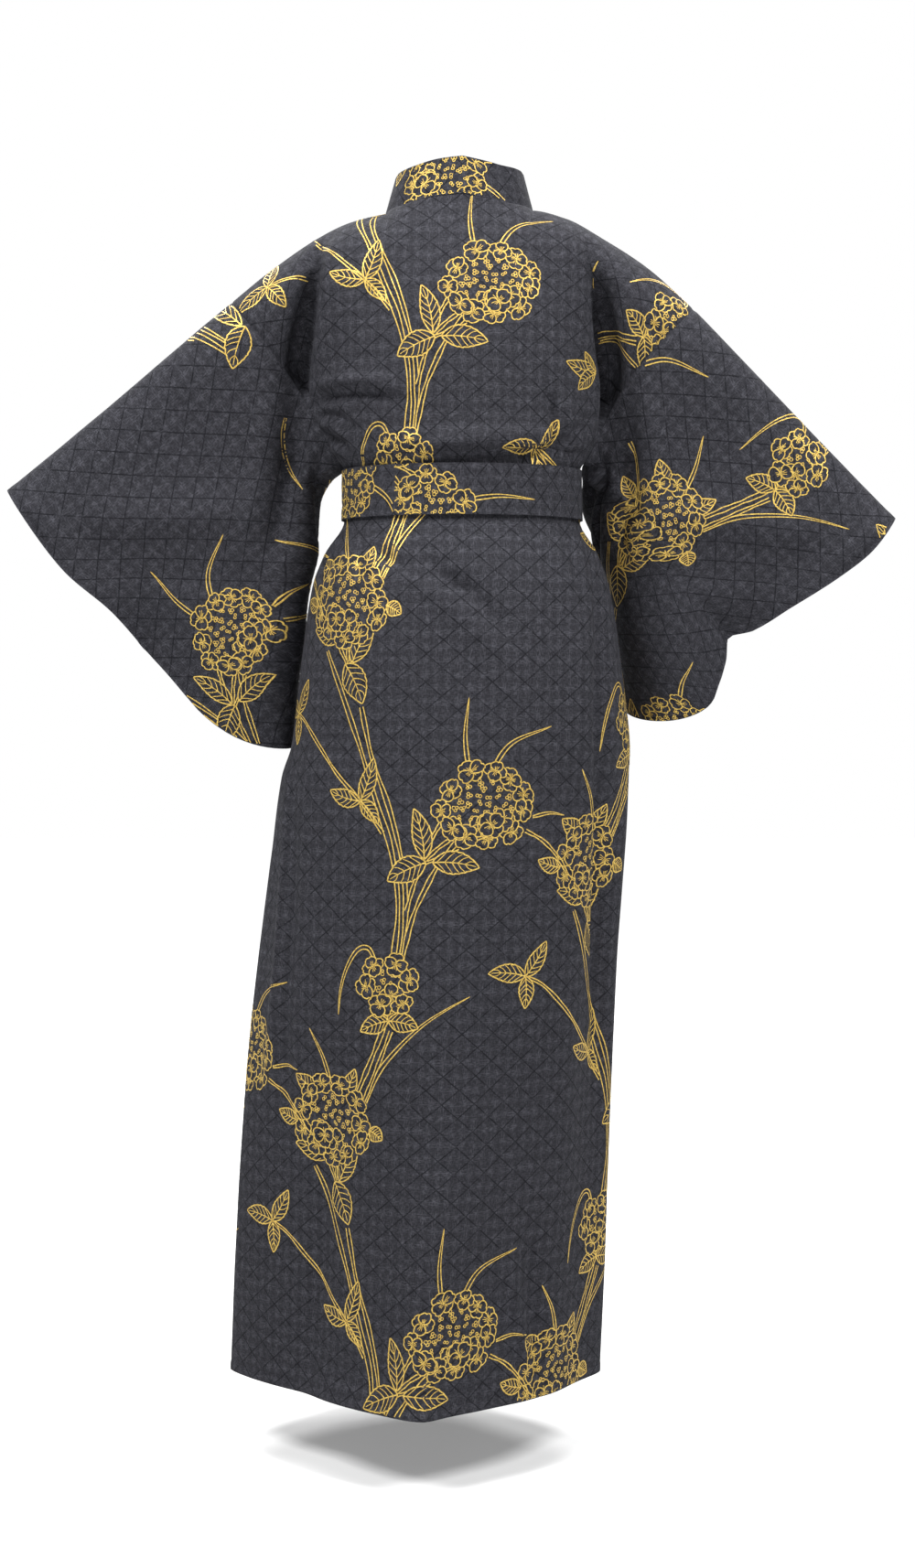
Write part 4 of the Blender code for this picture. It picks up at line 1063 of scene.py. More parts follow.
def flower_head(drawing, centre, radius, tall, turn, rim_flowers, inner_flowers, seed):
    """A round cluster: beads in the middle, open flowers round them."""
    chance = random.Random(seed)
    outline = circle((0, 0), 1.0, 48) * (radius * 0.94, radius * 0.94 * tall)
    drawing.hide(turned(outline, centre, turn))
    clusters = int((BEADS_REACH * radius / BEAD_SPACING) ** 2)
    for cluster in range(clusters):
        reach = BEADS_REACH * radius * math.sqrt((cluster + 0.5) / clusters)
        angle = cluster * BEAD_TURN + chance.uniform(-0.15, 0.15)
        spot = spot_around(centre, turn, reach, tall, angle)
        first = chance.uniform(0, 2 * math.pi)
        for bead in range(chance.choice((2, 3, 3))):
            place = turned([(BEAD_RADIUS * 1.1, 0.0)], spot, first + bead * 2.1)[0]
            radius_here = BEAD_RADIUS * chance.uniform(0.85, 1.12)
            drawing.shape(circle(place, radius_here, BEAD_SIDES), BEAD_LINE)
    places = []
    for number in range(rim_flowers):
        angle = 2 * math.pi * number / rim_flowers + chance.uniform(-0.10, 0.10)
        places.append((angle, chance.uniform(0.74, 0.88)))
    for number in range(inner_flowers):
        angle = -math.pi * (0.28 + 0.44 * (number + 0.5) / inner_flowers) + chance.uniform(-0.15, 0.15)
        places.append((angle, chance.uniform(0.40, 0.52)))
    chance.shuffle(places)
    for angle, reach in places:
        spot = spot_around(centre, turn, radius * reach, tall, angle)
        flower(drawing, spot, FLOWER_RADIUS * chance.uniform(0.92, 1.08), chance.uniform(0, 1.6),
               0.84 if reach > 0.7 else 0.97, angle + turn, chance)


def leaf(drawing, base, tip, width, bend, seed):
    """Pointed leaf with a toothed rim, a midrib and veins that curve forward."""
    chance = random.Random(seed)
    run = tip - base
    middle = (base + tip) / 2 + bend * np.array((-run[1], run[0]))
    t = np.linspace(0, 1, 65)[:, None]
    rib = (1 - t) ** 2 * base + 2 * t * (1 - t) * middle + t ** 2 * tip
    side = sideways(rib)
    t = t[:, 0]
    half = width / 2 * np.sin(math.pi * t ** 0.82) ** 0.85
    teeth = 1 + TOOTH_HEIGHT * ((t * LEAF_TEETH) % 1.0 - 0.35) * ease(t, 0.1, 0.3)
    left = rib + side * (half * teeth)[:, None]
    right = rib - side * (half * teeth)[:, None]
    drawing.shape(np.concatenate((left, right[::-1])), LEAF_LINE)
    drawing.line(rib[:60], LEAF_LINE, HATCH_LINE)
    for vein in range(VEINS):
        start = VEIN_START + VEIN_APART * vein + chance.uniform(-0.015, 0.015)
        for sign in (1, -1):
            a = int(64 * start)
            c = min(int(64 * (start + VEIN_REACH)), 62)
            b = (a + c) // 2
            stroke = [rib[a], rib[b] + side[b] * sign * half[b] * 0.52,
                      rib[c] + side[c] * sign * half[c] * 0.90]
            drawing.line(spline(stroke, 0.002), VEIN_LINE, HATCH_LINE)


def two_lines(drawing, path, half, width, end_width):
    """A line on each side of a path, with nothing seen between them."""
    side = sideways(path) * half[:, None]
    drawing.hide(np.concatenate((path + side, (path - side)[::-1])))
    drawing.line(path + side, width, end_width)
    drawing.line(path - side, width, end_width)


def stem(drawing, points, gap, seed):
    """Two uneven lines side by side."""
    chance = random.Random(seed)
    path = spline(points, CURVE_STEP)
    t = np.linspace(0, 1, len(path))
    uneven = 1 + 0.22 * np.sin(t * 17 + chance.uniform(0, 6)) + 0.12 * np.sin(t * 41 + chance.uniform(0, 6))
    two_lines(drawing, path, gap / 2 * uneven, STEM_LINE, STEM_LINE)


def blade(drawing, points, width):
    """Long thin grass blade that narrows to a point."""
    path = spline(points, CURVE_STEP)
    t = np.linspace(0, 1, len(path))
    half = width / 2 * np.minimum(1.0, 0.45 + 2.5 * t) * (1 - t) ** 0.7
    two_lines(drawing, path, half, BLADE_LINE, HATCH_LINE)



# One repeat of the print, as seen from outside: the big head is at 0, 0, x runs to the right and y up.
REPEAT_UP = 0.611
REPEAT_ACROSS = 0.330                # the next column, half a repeat lower
STEMS = (
    # gap between its two lines, then x and y of its points in millimetres
    (0.0050, (-206, 179, -183, 136, -165, 98, -147, 56, -126, 0, -109, -45, -99, -90, -96, -130,
              -99, -175, -101, -225)),
    (0.0044, (-151, 113, -144, 86, -134, 52, -114, 4, -100, -40, -90, -85, -87, -130, -90, -175)),
    (0.0048, (-107, -258, -122, -298, -140, -338, -152, -362)),
    (0.0036, (-98, -262, -110, -296, -126, -336, -136, -358)),
    (0.0044, (-32, -43, -51, -68, -66, -98, -77, -125, -85, -158, -90, -190)),
    (0.0036, (-70, -66, -79, -93, -86, -122)),
    (0.0036, (-70, -64, -62, -42, -50, -20)),
    (0.0036, (-69, -66, -52, -49, -34, -36)),
    (0.0032, (-68, -67, -48, -60, -28, -52)),
    (0.0036, (-174, -446, -188, -424, -198, -404)),
    (0.0034, (-172, -448, -174, -424, -178, -404)),
    (0.0034, (-170, -446, -160, -424, -156, -404)),
    (0.0034, (60, -200, 85, -212, 118, -240, 150, -272, 182, -302, 212, -338)),
    (0.0034, (50, -30, 74, -43, 96, -64, 112, -86)),
)
BLADES = (
    # width at its broadest, then x and y of its points in millimetres
    (0.0056, (-20, 40, -25, 80, -22, 124)),
    (0.0060, (6, 40, 30, 72, 78, 91)),
    (0.0042, (58, -14, 80, -10, 100, -13)),
    (0.0054, (-120, -184, -130, -167, -144, -169, -157, -190, -164, -216, -166, -246)),
    (0.0060, (-128, -348, -112, -312, -90, -283, -62, -255, -35, -236, -8, -221)),
    (0.0052, (-180, -326, -190, -296, -208, -265)),
)
LEAVES = (
    # x and y of the base, x and y of the tip and the width, in millimetres, and the bend
    (-68, -62, -82, -4, 22, -0.10),
    (-58, -66, -4, -72, 26, 0.10),
    (-66, -66, -110, -88, 29, -0.08),
    (-148, 4, -190, 16, 20, 0.12),
    (-148, 4, -132, 54, 20, -0.08),
    (-148, 4, -124, -22, 18, 0.10),
    (60, -200, 13, -195, 21, -0.10),
    (60, -200, 85, -160, 20, -0.08),
    (60, -200, 62, -238, 19, 0.08),
    (-102, -252, -104, -221, 22, 0.05),
    (-102, -250, -136, -264, 22, -0.10),
    (-102, -250, -66, -258, 22, 0.12),
    (-176, -448, -150, -494, 32, 0.10),
    (-186, -420, -234, -407, 26, -0.10),
    (-166, -446, -137, -402, 26, 0.10),
    (-200, -340, -232, -323, 22, 0.10),
    (-162, -345, -143, -309, 20, -0.10),
    (-232, -380, -262, -370, 18, 0.08),
    (-122, -380, -104, -390, 18, 0.08),
)
HEADS = (
    # centre, radius, height to width, turn, flowers round the rim and inside it
    ((0.000, 0.000), 0.058, 0.88, 0.30, 11, 4),
    ((-0.179, -0.376), 0.058, 0.92, -0.50, 11, 4),
    ((-0.104, -0.208), 0.034, 0.95, 0.20, 6, 1),
)


def draw_leaves(drawing, table):
    """The leaves of a table, each with its own unevenness."""
    for number, (*ends, width, bend) in enumerate(table):
        base, tip = metres(ends)
        leaf(drawing, base, tip, width / 1000, bend, number)


def print_repeat():
    """Lines of one repeat of the print, thinned to what the curves need."""
    drawing = Drawing()
    for width, points in BLADES:
        blade(drawing, metres(points), width)
    for number, (gap, points) in enumerate(STEMS):
        stem(drawing, metres(points), gap, number)
    draw_leaves(drawing, LEAVES)
    for number, (centre, radius, tall, turn, rim_flowers, inner_flowers) in enumerate(HEADS):
        flower_head(drawing, centre, radius, tall, turn, rim_flowers, inner_flowers, 7 + number)
    return thinned_lines(drawing)


def thinned_lines(drawing):
    """The lines of a drawing that are long enough to show."""
    return [thinned(points, widths) for points, widths in drawing.lines if len(points) > 2]


def thinned(points, widths, tolerance=0.00016, longest=4):
    """Leave out the points that a straight stretch doesn't need."""
    kept = [0]
    while kept[-1] < len(points) - 1:
        start = kept[-1]
        stop = min(start + longest, len(points) - 1)
        while stop > start + 1:
            chord = points[stop] - points[start]
            length = max(float(np.linalg.norm(chord)), 1e-9)
            between = points[start + 1:stop] - points[start]
            off = np.abs(between[:, 0] * chord[1] - between[:, 1] * chord[0]) / length
            if off.max() < tolerance:
                break
            stop -= 1
        kept.append(stop)
    return points[kept], widths[kept]


def crossed(first, second):
    """Twice the area between two rows of flat vectors."""
    return first[:, 0] * second[:, 1] - first[:, 1] * second[:, 0]


class Surface:
    """Flat places to points on the cloth, over the faces that are kept."""

    def __init__(self, points, normals, flat, kept=None):
        rows, columns = points.shape[:2]
        self.points, self.normals = points.reshape(-1, 3), normals.reshape(-1, 3)
        self.flat = flat.reshape(-1, 2)
        index = np.arange(rows * columns).reshape(rows, columns)
        first = np.stack((index[:-1, :-1], index[1:, :-1], index[1:, 1:]), axis=-1)
        second = np.stack((index[:-1, :-1], index[1:, 1:], index[:-1, 1:]), axis=-1)
        if kept is not None:
            first, second = first[kept], second[kept]
        self.faces = np.concatenate((first.reshape(-1, 3), second.reshape(-1, 3)))
        spots = [(x, y, 0.0) for x, y in self.flat.tolist()]
        self.tree = BVHTree.FromPolygons(spots, self.faces.tolist())
        used = self.flat[np.unique(self.faces)]
        self.low, self.high = used.min(axis=0), used.max(axis=0)

    def place(self, spots, lift):
        """Points on the cloth for flat places, and which of them are on it."""
        down = Vector((0.0, 0.0, -1.0))
        faces = np.array([-1 if hit is None else hit for hit in
                          (self.tree.ray_cast(Vector((x, y, 1.0)), down)[2] for x, y in spots.tolist())])
        found = faces >= 0
        corners = self.faces[np.maximum(faces, 0)]
        a, b, c = (self.flat[corners[:, i]] for i in range(3))
        area = crossed(b - a, c - a)
        area = np.where(np.abs(area) < 1e-14, 1e-14, area)
        v = crossed(spots - a, c - a) / area
        w = crossed(b - a, spots - a) / area
        shares = np.stack((1 - v - w, v, w), axis=-1)[..., None]
        points = (self.points[corners] * shares).sum(axis=1)
        normals = unit((self.normals[corners] * shares).sum(axis=1))
        return points + normals * lift, found


def tucked_away(points, areas):
    """Whether a line of the print lies where the cloth is tucked into a fold."""
    x, _, z = points.mean(axis=0)
    return any(low_x < x < high_x and low_z < z < high_z for low_x, low_z, high_x, high_z in areas)


def print_on(panel, surfaces, repeat, material, singles=()):
    """Lay the repeat over one panel as a thin film of pigment. Each surface has its anchor and turn.

    The single lines are laid once, on the first surface.
    """
    points, faces = [], []

    def lay(surface, middle, widths, areas):
        side = sideways(middle) * (widths / 2)[:, None]
        placed, found = surface.place(np.concatenate((middle + side, middle - side)), PRINT_LIFT)
        count = len(middle)
        good = found[:count] & found[count:]
        if not good.any() or tucked_away(placed[found], areas):
            return
        total = sum(map(len, points))
        points.append(placed)
        for i in range(count - 1):
            if good[i] and good[i + 1]:
                faces.append((total + i, total + count + i, total + count + i + 1, total + i + 1))

    for surface, anchor, turn in surfaces:
        grid = [(column * REPEAT_ACROSS, row * REPEAT_UP + column % 2 * REPEAT_UP / 2)
                for column in REPEATS for row in REPEATS]
        for spot in turned(grid, anchor, turn):
            if ((spot < surface.low - REPEAT_REACH) | (spot > surface.high + REPEAT_REACH)).any():
                continue
            for line, widths in repeat:
                middle = turned(line, spot, turn)
                if (middle.max(axis=0) < surface.low).any() or (middle.min(axis=0) > surface.high).any():
                    continue
                lay(surface, middle, widths, TUCKED.get(panel, ()))
    for line, widths in singles:
        lay(surfaces[0][0], line, widths, ())
    if not faces:
        return None
    name = f"gold_print_{panel}"
    mesh = bpy.data.meshes.new(name)
    mesh.from_pydata(np.concatenate(points).tolist(), [], faces)
    used = bmesh.new()
    used.from_mesh(mesh)
    bmesh.ops.delete(used, geom=[v for v in used.verts if not v.link_faces], context="VERTS")
    used.to_mesh(mesh)
    used.free()
    mesh.materials.append(material)
    mesh.shade_smooth()
    thing = added(name, mesh)
    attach(thing, "root")
    return thing


# Anchors: where the big head of one repeat lies on each panel, x to the right seen from outside, y up
ANCHORS = {
    "back": (0.034, -0.727),
    "back_arm_left": (0.665, -0.156),
    "back_arm_right": (-0.174, 0.080),
    "sleeve_left_back": (0.1056, -0.3010),
    "sleeve_right_back": (-0.030, 0.167),
    "sleeve_left_front": (-0.180, -0.290),
    "sleeve_right_front": (0.260, -0.180),
    "front_left": (0.120, -0.760),
    "front_right": (-0.090, -0.620),
    "front_arm_left": (-0.480, -0.200),
    "front_arm_right": (0.500, -0.240),
    "okumi_left": (-0.060, -1.000),
    "okumi_right": (0.060, -0.900),
    "collar": (-0.022, 0.028),
    "belt_long": (0.046, -0.392),
    "belt_short": (-0.078, -0.342),
    "belt_knot": (0.010, 0.030),
    "belt_end_left": (0.010, -0.240),
    "belt_end_right": (0.030, -0.120),
}
# Panels on which the repeat is turned, in radians
TURNS = {"back_arm_right": -0.43, "sleeve_left_back": 0.10}
# Where the print goes into a fold and out of sight: lowest x and z, highest x and z
TUCKED = {
    "back": ((-0.185, -0.250, -0.100, -0.125), (-0.228, -0.330, -0.138, -0.237),
             (0.169, -0.300, 0.267, -0.133)),
    "sleeve_left_back": ((0.169, -0.363, 0.267, -0.133), (0.140, -0.400, 0.170, -0.270)),
    "sleeve_right_back": ((-0.240, -0.318, -0.150, -0.185),),
}
# Motifs that show singly beside the folds: leaves, laid out as above, and a grass blade
FOLD_LEAVES = (
    (188, -212, 127, -207, 21, 0.10),
    (186, -214, 148, -238, 20, -0.12),
    (188, -210, 158, -191, 15, 0.10),
)
FOLD_BLADE = ((0.3194, -0.1417), (0.3065, -0.1554), (0.2953, -0.1791), (0.2904, -0.2009),
              (0.2902, -0.2222))
FOLD_BLADE_WIDTH = 0.006


def fold_motifs():
    """Lines of the single motifs by the panel's name."""
    sprig, grass = Drawing(), Drawing()
    draw_leaves(sprig, FOLD_LEAVES)
    blade(grass, FOLD_BLADE, FOLD_BLADE_WIDTH)
    return {"back": thinned_lines(sprig), "sleeve_left_back": thinned_lines(grass)}


def lay_print(cloths, gold):
    """The print on every panel. Returns the prints by the panel's name."""
    repeat = print_repeat()
    singles = fold_motifs()
    lengthwise = -math.pi / 2
    prints = {}

    def surface(cloth, x_sign, kept=None, chart=None, y_sign=1):
        flat = (cloth.chart if chart is None else chart) * (x_sign, y_sign)
        return Surface(cloth.points, cloth.normals, flat, kept)

    for name, mirror in (("back", -1), ("front_left", 1), ("front_right", -1)):
        cloth = cloths[f"{name}_cloth"]
        middle = (cloth.points[:-1, :-1] + cloth.points[1:, 1:]) / 2
        outer = {sign: outside_trough(middle, sign) for sign in (1, -1)}
        layers = [(surface(cloth, mirror, ~(outer[1] | outer[-1])), ANCHORS[name], 0.0)]
        for sign, side in ((1, "left"), (-1, "right")):
            if outer[sign].any():
                facing = 1 if name == "back" else -1
                arm = f"{name.split('_')[0]}_arm_{side}"
                layers.append((surface(cloth, sign * facing, outer[sign], arm_chart(cloth, sign), -1),
                               ANCHORS[arm], TURNS.get(arm, 0.0)))
        prints[name] = print_on(name, layers, repeat, gold, singles.get(name, ()))
    for sign, side in ((1, "left"), (-1, "right")):
        for layer, facing in (("back", 1), ("front", -1)):
            name = f"sleeve_{side}_{layer}"
            sleeve = surface(cloths[f"{name}_cloth"], sign * facing, y_sign=-1)
            layers = [(sleeve, ANCHORS[name], TURNS.get(name, 0.0))]
            prints[name] = print_on(name, layers, repeat, gold, singles.get(name, ()))
    plain = (("okumi_left", "cloth", -1, 0.0), ("okumi_right", "cloth", 1, 0.0),
             ("belt_end_left", "band", 1, 0.0), ("belt_end_right", "band", 1, 0.0),
             ("belt_knot", "band", 1, 0.0),
             ("collar", "band", 1, lengthwise), ("belt_long", "band", 1, lengthwise),
             ("belt_short", "band", -1, lengthwise))
    for name, kind, x_sign, turn in plain:
        panel = surface(cloths[f"{name}_{kind}"], x_sign)
        prints[name] = print_on(name, [(panel, ANCHORS[name], turn)], repeat, gold)
    return prints


# ---------------------------------------------------------------- materials
def colour_value(red, green, blue):
    """Colour as seen on a screen, 0 to 255, made linear."""
    return tuple(((c / 255 + 0.055) / 1.055) ** 2.4 for c in (red, green, blue)) + (1.0,)


CHECK_SPACING = (0.0133, 0.0160)     # of the weave's light check
DIAMOND = (0.0385, 0.0325)           # width and height of the lattice's diamonds
LATTICE_LINE = 0.0014
NAVY = colour_value(29, 29, 33)
FLECK = colour_value(67, 67, 73)
NEAR_BLACK = colour_value(10, 11, 15)
GOLD = colour_value(205, 176, 92)
GOLD_DARK = colour_value(150, 122, 60)
THREAD_SCALES = (640.0, 200.0)       # noise across and along a thread
PATCH_SCALE = 75.0                   # noise that breaks the check's patches up
THREAD_LIGHT, PATCH_LIGHT, SPECKLE_LIGHT = 0.55, 0.22, 0.42
WANDER = 0.05                        # of the lattice's lines
LATTICE_GROOVE = -0.4
WEAVE_STRENGTH = 0.90
LATTICE_STRENGTH = 0.95
SHADE_STRENGTH = 0.35
COTTON_ROUGHNESS = 0.90
COTTON_BUMP = (0.00025, 0.6)         # depth and strength
GOLD_ROUGHNESS = 0.48
GOLD_METALLIC = 0.25
SPECULAR = 0.12
VECTOR, COLOUR, NUMBER = "NodeSocketVector", "NodeSocketColor", "NodeSocketFloat"


def feed(tree, socket, value):
    """Link a socket's value to it, or set a plain value."""
    if isinstance(value, bpy.types.NodeSocket):
        tree.links.new(value, socket)
    else:
        socket.default_value = value


class Nodes:
    """Short ways to lay out a node tree."""

    def __init__(self, tree):
        self.tree = tree

    def add(self, kind, inputs=(), **settings):
        node = self.tree.nodes.new(kind)
        for key, value in settings.items():
            setattr(node, key, value)
        for key, value in dict(inputs).items():
            feed(self.tree, node.inputs[key], value)
        return node

    def maths(self, operation, first, second=0.0, third=0.0):
        node = self.add("ShaderNodeMath", {0: first, 1: second, 2: third}, operation=operation)
        return node.outputs[0]

    def mix(self, factor, first, second):
        node = self.add("ShaderNodeMix", data_type="RGBA")
        for key, value in (("Factor", factor), (6, first), (7, second)):
            feed(self.tree, node.inputs[key], value)
        return node.outputs[2]

    def step(self, value, start, end):
        node = self.add("ShaderNodeMapRange", {0: value, 1: start, 2: end, 3: 0.0, 4: 1.0},
                        interpolation_type="SMOOTHSTEP")
        return node.outputs[0]

    def noise(self, place, scale, detail=2.0, roughness=0.5):
        node = self.add("ShaderNodeTexNoise", {"Vector": place, "Scale": scale, "Detail": detail,
                                               "Roughness": roughness})
        return node.outputs["Fac"]

    def stretched(self, place, across, up):
        node = self.add("ShaderNodeVectorMath", {0: place, 1: (across, up, 1.0)}, operation="MULTIPLY")
        return node.outputs[0]


def new_group(name, inputs, outputs):
    """An empty node group. Inputs are label, kind and value, outputs are label and kind."""
    tree = bpy.data.node_groups.new(name, "ShaderNodeTree")
    for label, kind, value in inputs:
        socket = tree.interface.new_socket(label, in_out="INPUT", socket_type=kind)
        if value is not None:
            socket.default_value = value
    for label, kind in outputs:
        tree.interface.new_socket(label, in_out="OUTPUT", socket_type=kind)
    nodes = Nodes(tree)
    return nodes, nodes.add("NodeGroupInput").outputs, nodes.add("NodeGroupOutput")


def weave_group():
    """Plain cotton weave: light flecks of thread, gathered in soft patches on a small check."""
    nodes, given, result = new_group(
        "cotton_weave",
        (("Place", VECTOR, None), ("Ground", COLOUR, NAVY), ("Fleck", COLOUR, FLECK),
         ("Strength", NUMBER, 1.0)),
        (("Colour", COLOUR), ("Height", NUMBER)))
    place = given["Place"]
    warp, weft = (nodes.step(nodes.noise(nodes.stretched(place, *scales), 1.0, 2.0, 0.6), 0.42, 0.68)
                  for scales in (THREAD_SCALES, THREAD_SCALES[::-1]))
    parts = nodes.add("ShaderNodeSeparateXYZ", {0: place})
    waves = []
    for socket, spacing in enumerate(CHECK_SPACING):
        turn = nodes.maths("MULTIPLY", parts.outputs[socket], 2 * math.pi / spacing)
        waves.append(nodes.maths("MULTIPLY_ADD", nodes.maths("COSINE", turn), 0.5, 0.5))
    threads = nodes.maths("MAXIMUM", nodes.maths("MULTIPLY", warp, waves[0]),
                          nodes.maths("MULTIPLY", weft, waves[1]))
    patch = nodes.maths("MULTIPLY", waves[0], waves[1])
    speckle = nodes.maths("MULTIPLY", nodes.maths("ADD", warp, weft), 0.5)
    broken = nodes.step(nodes.noise(place, PATCH_SCALE, 2.0), 0.32, 0.68)
    uneven = nodes.maths("MULTIPLY_ADD", broken, 0.7, 0.3)
    light = nodes.maths("ADD", nodes.maths("MULTIPLY", threads, THREAD_LIGHT),
                        nodes.maths("MULTIPLY", patch, PATCH_LIGHT))
    light = nodes.maths("MULTIPLY_ADD", light, uneven, nodes.maths("MULTIPLY", speckle, SPECKLE_LIGHT))
    amount = nodes.maths("MULTIPLY", light, given["Strength"])
    height = nodes.maths("MULTIPLY", nodes.maths("ADD", threads, speckle), 0.5)
    nodes.tree.links.new(nodes.mix(amount, given["Ground"], given["Fleck"]), result.inputs["Colour"])
    nodes.tree.links.new(height, result.inputs["Height"])
    return nodes.tree


def lattice_group():
    """Thin diamond lattice, dyed darker than the ground, broken here and there."""
    nodes, given, result = new_group(
        "diamond_lattice",
        (("Place", VECTOR, None), ("Ground", COLOUR, NAVY), ("Line", COLOUR, NEAR_BLACK),
         ("Strength", NUMBER, 1.0)),
        (("Colour", COLOUR), ("Height", NUMBER)))
    place = given["Place"]
    parts = nodes.add("ShaderNodeSeparateXYZ", {0: place})
    across = nodes.maths("DIVIDE", parts.outputs[0], DIAMOND[0])
    up = nodes.maths("DIVIDE", parts.outputs[1], DIAMOND[1])
    spacing = 1 / math.hypot(1 / DIAMOND[0], 1 / DIAMOND[1])
    wander = nodes.maths("MULTIPLY", nodes.maths("SUBTRACT", nodes.noise(place, 70.0, 1.0), 0.5), WANDER)
    lines = []
    for operation in ("ADD", "SUBTRACT"):
        turn = nodes.maths("ADD", nodes.maths(operation, across, up), wander)
        cell = nodes.maths("FRACT", nodes.maths("ADD", turn, 0.5))
        off = nodes.maths("MULTIPLY", nodes.maths("ABSOLUTE", nodes.maths("SUBTRACT", cell, 0.5)), spacing)
        lines.append(nodes.step(off, LATTICE_LINE * 0.75, LATTICE_LINE * 0.30))
    both = nodes.maths("MAXIMUM", lines[0], lines[1])
    grain = nodes.maths("ADD", nodes.maths("MULTIPLY", nodes.noise(place, 900.0, 1.0), 0.5),
                        nodes.maths("MULTIPLY", nodes.step(nodes.noise(place, 85.0, 2.0), 0.25, 0.6), 0.6))
    amount = nodes.maths("MULTIPLY", nodes.maths("MULTIPLY", both, nodes.maths("MINIMUM", grain, 1.0)),
                         given["Strength"])
    nodes.tree.links.new(nodes.mix(amount, given["Ground"], given["Line"]), result.inputs["Colour"])
    nodes.tree.links.new(nodes.maths("MULTIPLY", amount, LATTICE_GROOVE), result.inputs["Height"])
    return nodes.tree


def fade_group():
    """Slow change of shade over the cloth, from wear, handling and washing."""
    nodes, given, result = new_group(
        "slow_shade",
        (("Place", VECTOR, None), ("Ground", COLOUR, NAVY), ("Strength", NUMBER, 0.2)),
        (("Colour", COLOUR),))
    cloud = nodes.noise(given["Place"], 5.0, 3.0, 0.55)
    change = nodes.maths("MULTIPLY", nodes.maths("SUBTRACT", cloud, 0.5), given["Strength"])
    level = nodes.maths("ADD", 1.0, change)
    scaled = nodes.add("ShaderNodeVectorMath", {0: given["Ground"], 1: level}, operation="MULTIPLY")
    nodes.tree.links.new(scaled.outputs[0], result.inputs["Colour"])
    return nodes.tree




def finished(material, colour, roughness, metallic=0.0, height=None):
    """Connect a finish to the material's shader."""
    nodes = Nodes(material.node_tree)
    shader = material.node_tree.nodes["Principled BSDF"]
    nodes.tree.links.new(colour, shader.inputs["Base Color"])
    shader.inputs["Roughness"].default_value = roughness
    shader.inputs["Metallic"].default_value = metallic
    shader.inputs["Specular IOR Level"].default_value = SPECULAR
    if height is not None:
        depth, strength = COTTON_BUMP
        bump = nodes.add("ShaderNodeBump", {"Strength": strength, "Distance": depth, "Height": height})
        nodes.tree.links.new(bump.outputs[0], shader.inputs["Normal"])


def cotton_material(name, weave, lattice, shade, turned=False):
    """Dyed cotton. The weave of the folded bands is turned, because they lie lengthwise."""
    material = bpy.data.materials.new(name)
    material.use_nodes = True
    nodes = Nodes(material.node_tree)
    place = nodes.add("ShaderNodeUVMap", uv_map="cloth").outputs[0]
    if turned:
        quarter = (0, 0, math.pi / 2)
        place = nodes.add("ShaderNodeMapping", {"Vector": place, "Rotation": quarter}).outputs[0]
    slow = nodes.add("ShaderNodeGroup", node_tree=shade)
    threads = nodes.add("ShaderNodeGroup", node_tree=weave)
    diamonds = nodes.add("ShaderNodeGroup", node_tree=lattice)
    for group in (slow, threads, diamonds):
        nodes.tree.links.new(place, group.inputs["Place"])
    slow.inputs["Ground"].default_value = NAVY
    slow.inputs["Strength"].default_value = SHADE_STRENGTH
    threads.inputs["Fleck"].default_value = FLECK
    threads.inputs["Strength"].default_value = WEAVE_STRENGTH
    diamonds.inputs["Line"].default_value = NEAR_BLACK
    diamonds.inputs["Strength"].default_value = LATTICE_STRENGTH
    nodes.tree.links.new(slow.outputs["Colour"], threads.inputs["Ground"])
    nodes.tree.links.new(threads.outputs["Colour"], diamonds.inputs["Ground"])
    height = nodes.maths("ADD", threads.outputs["Height"], diamonds.outputs["Height"])
    finished(material, diamonds.outputs["Colour"], COTTON_ROUGHNESS, height=height)
    return material


def gold_material():
    """Gold pigment, worn darker in small patches."""
    material = bpy.data.materials.new("gold_pigment")
    material.use_nodes = True
    nodes = Nodes(material.node_tree)
    place = nodes.add("ShaderNodeTexCoord").outputs["Object"]
    worn = nodes.step(nodes.noise(place, 420.0, 3.0, 0.6), 0.30, 0.72)
    finished(material, nodes.mix(worn, GOLD_DARK, GOLD), GOLD_ROUGHNESS, GOLD_METALLIC)
    return material


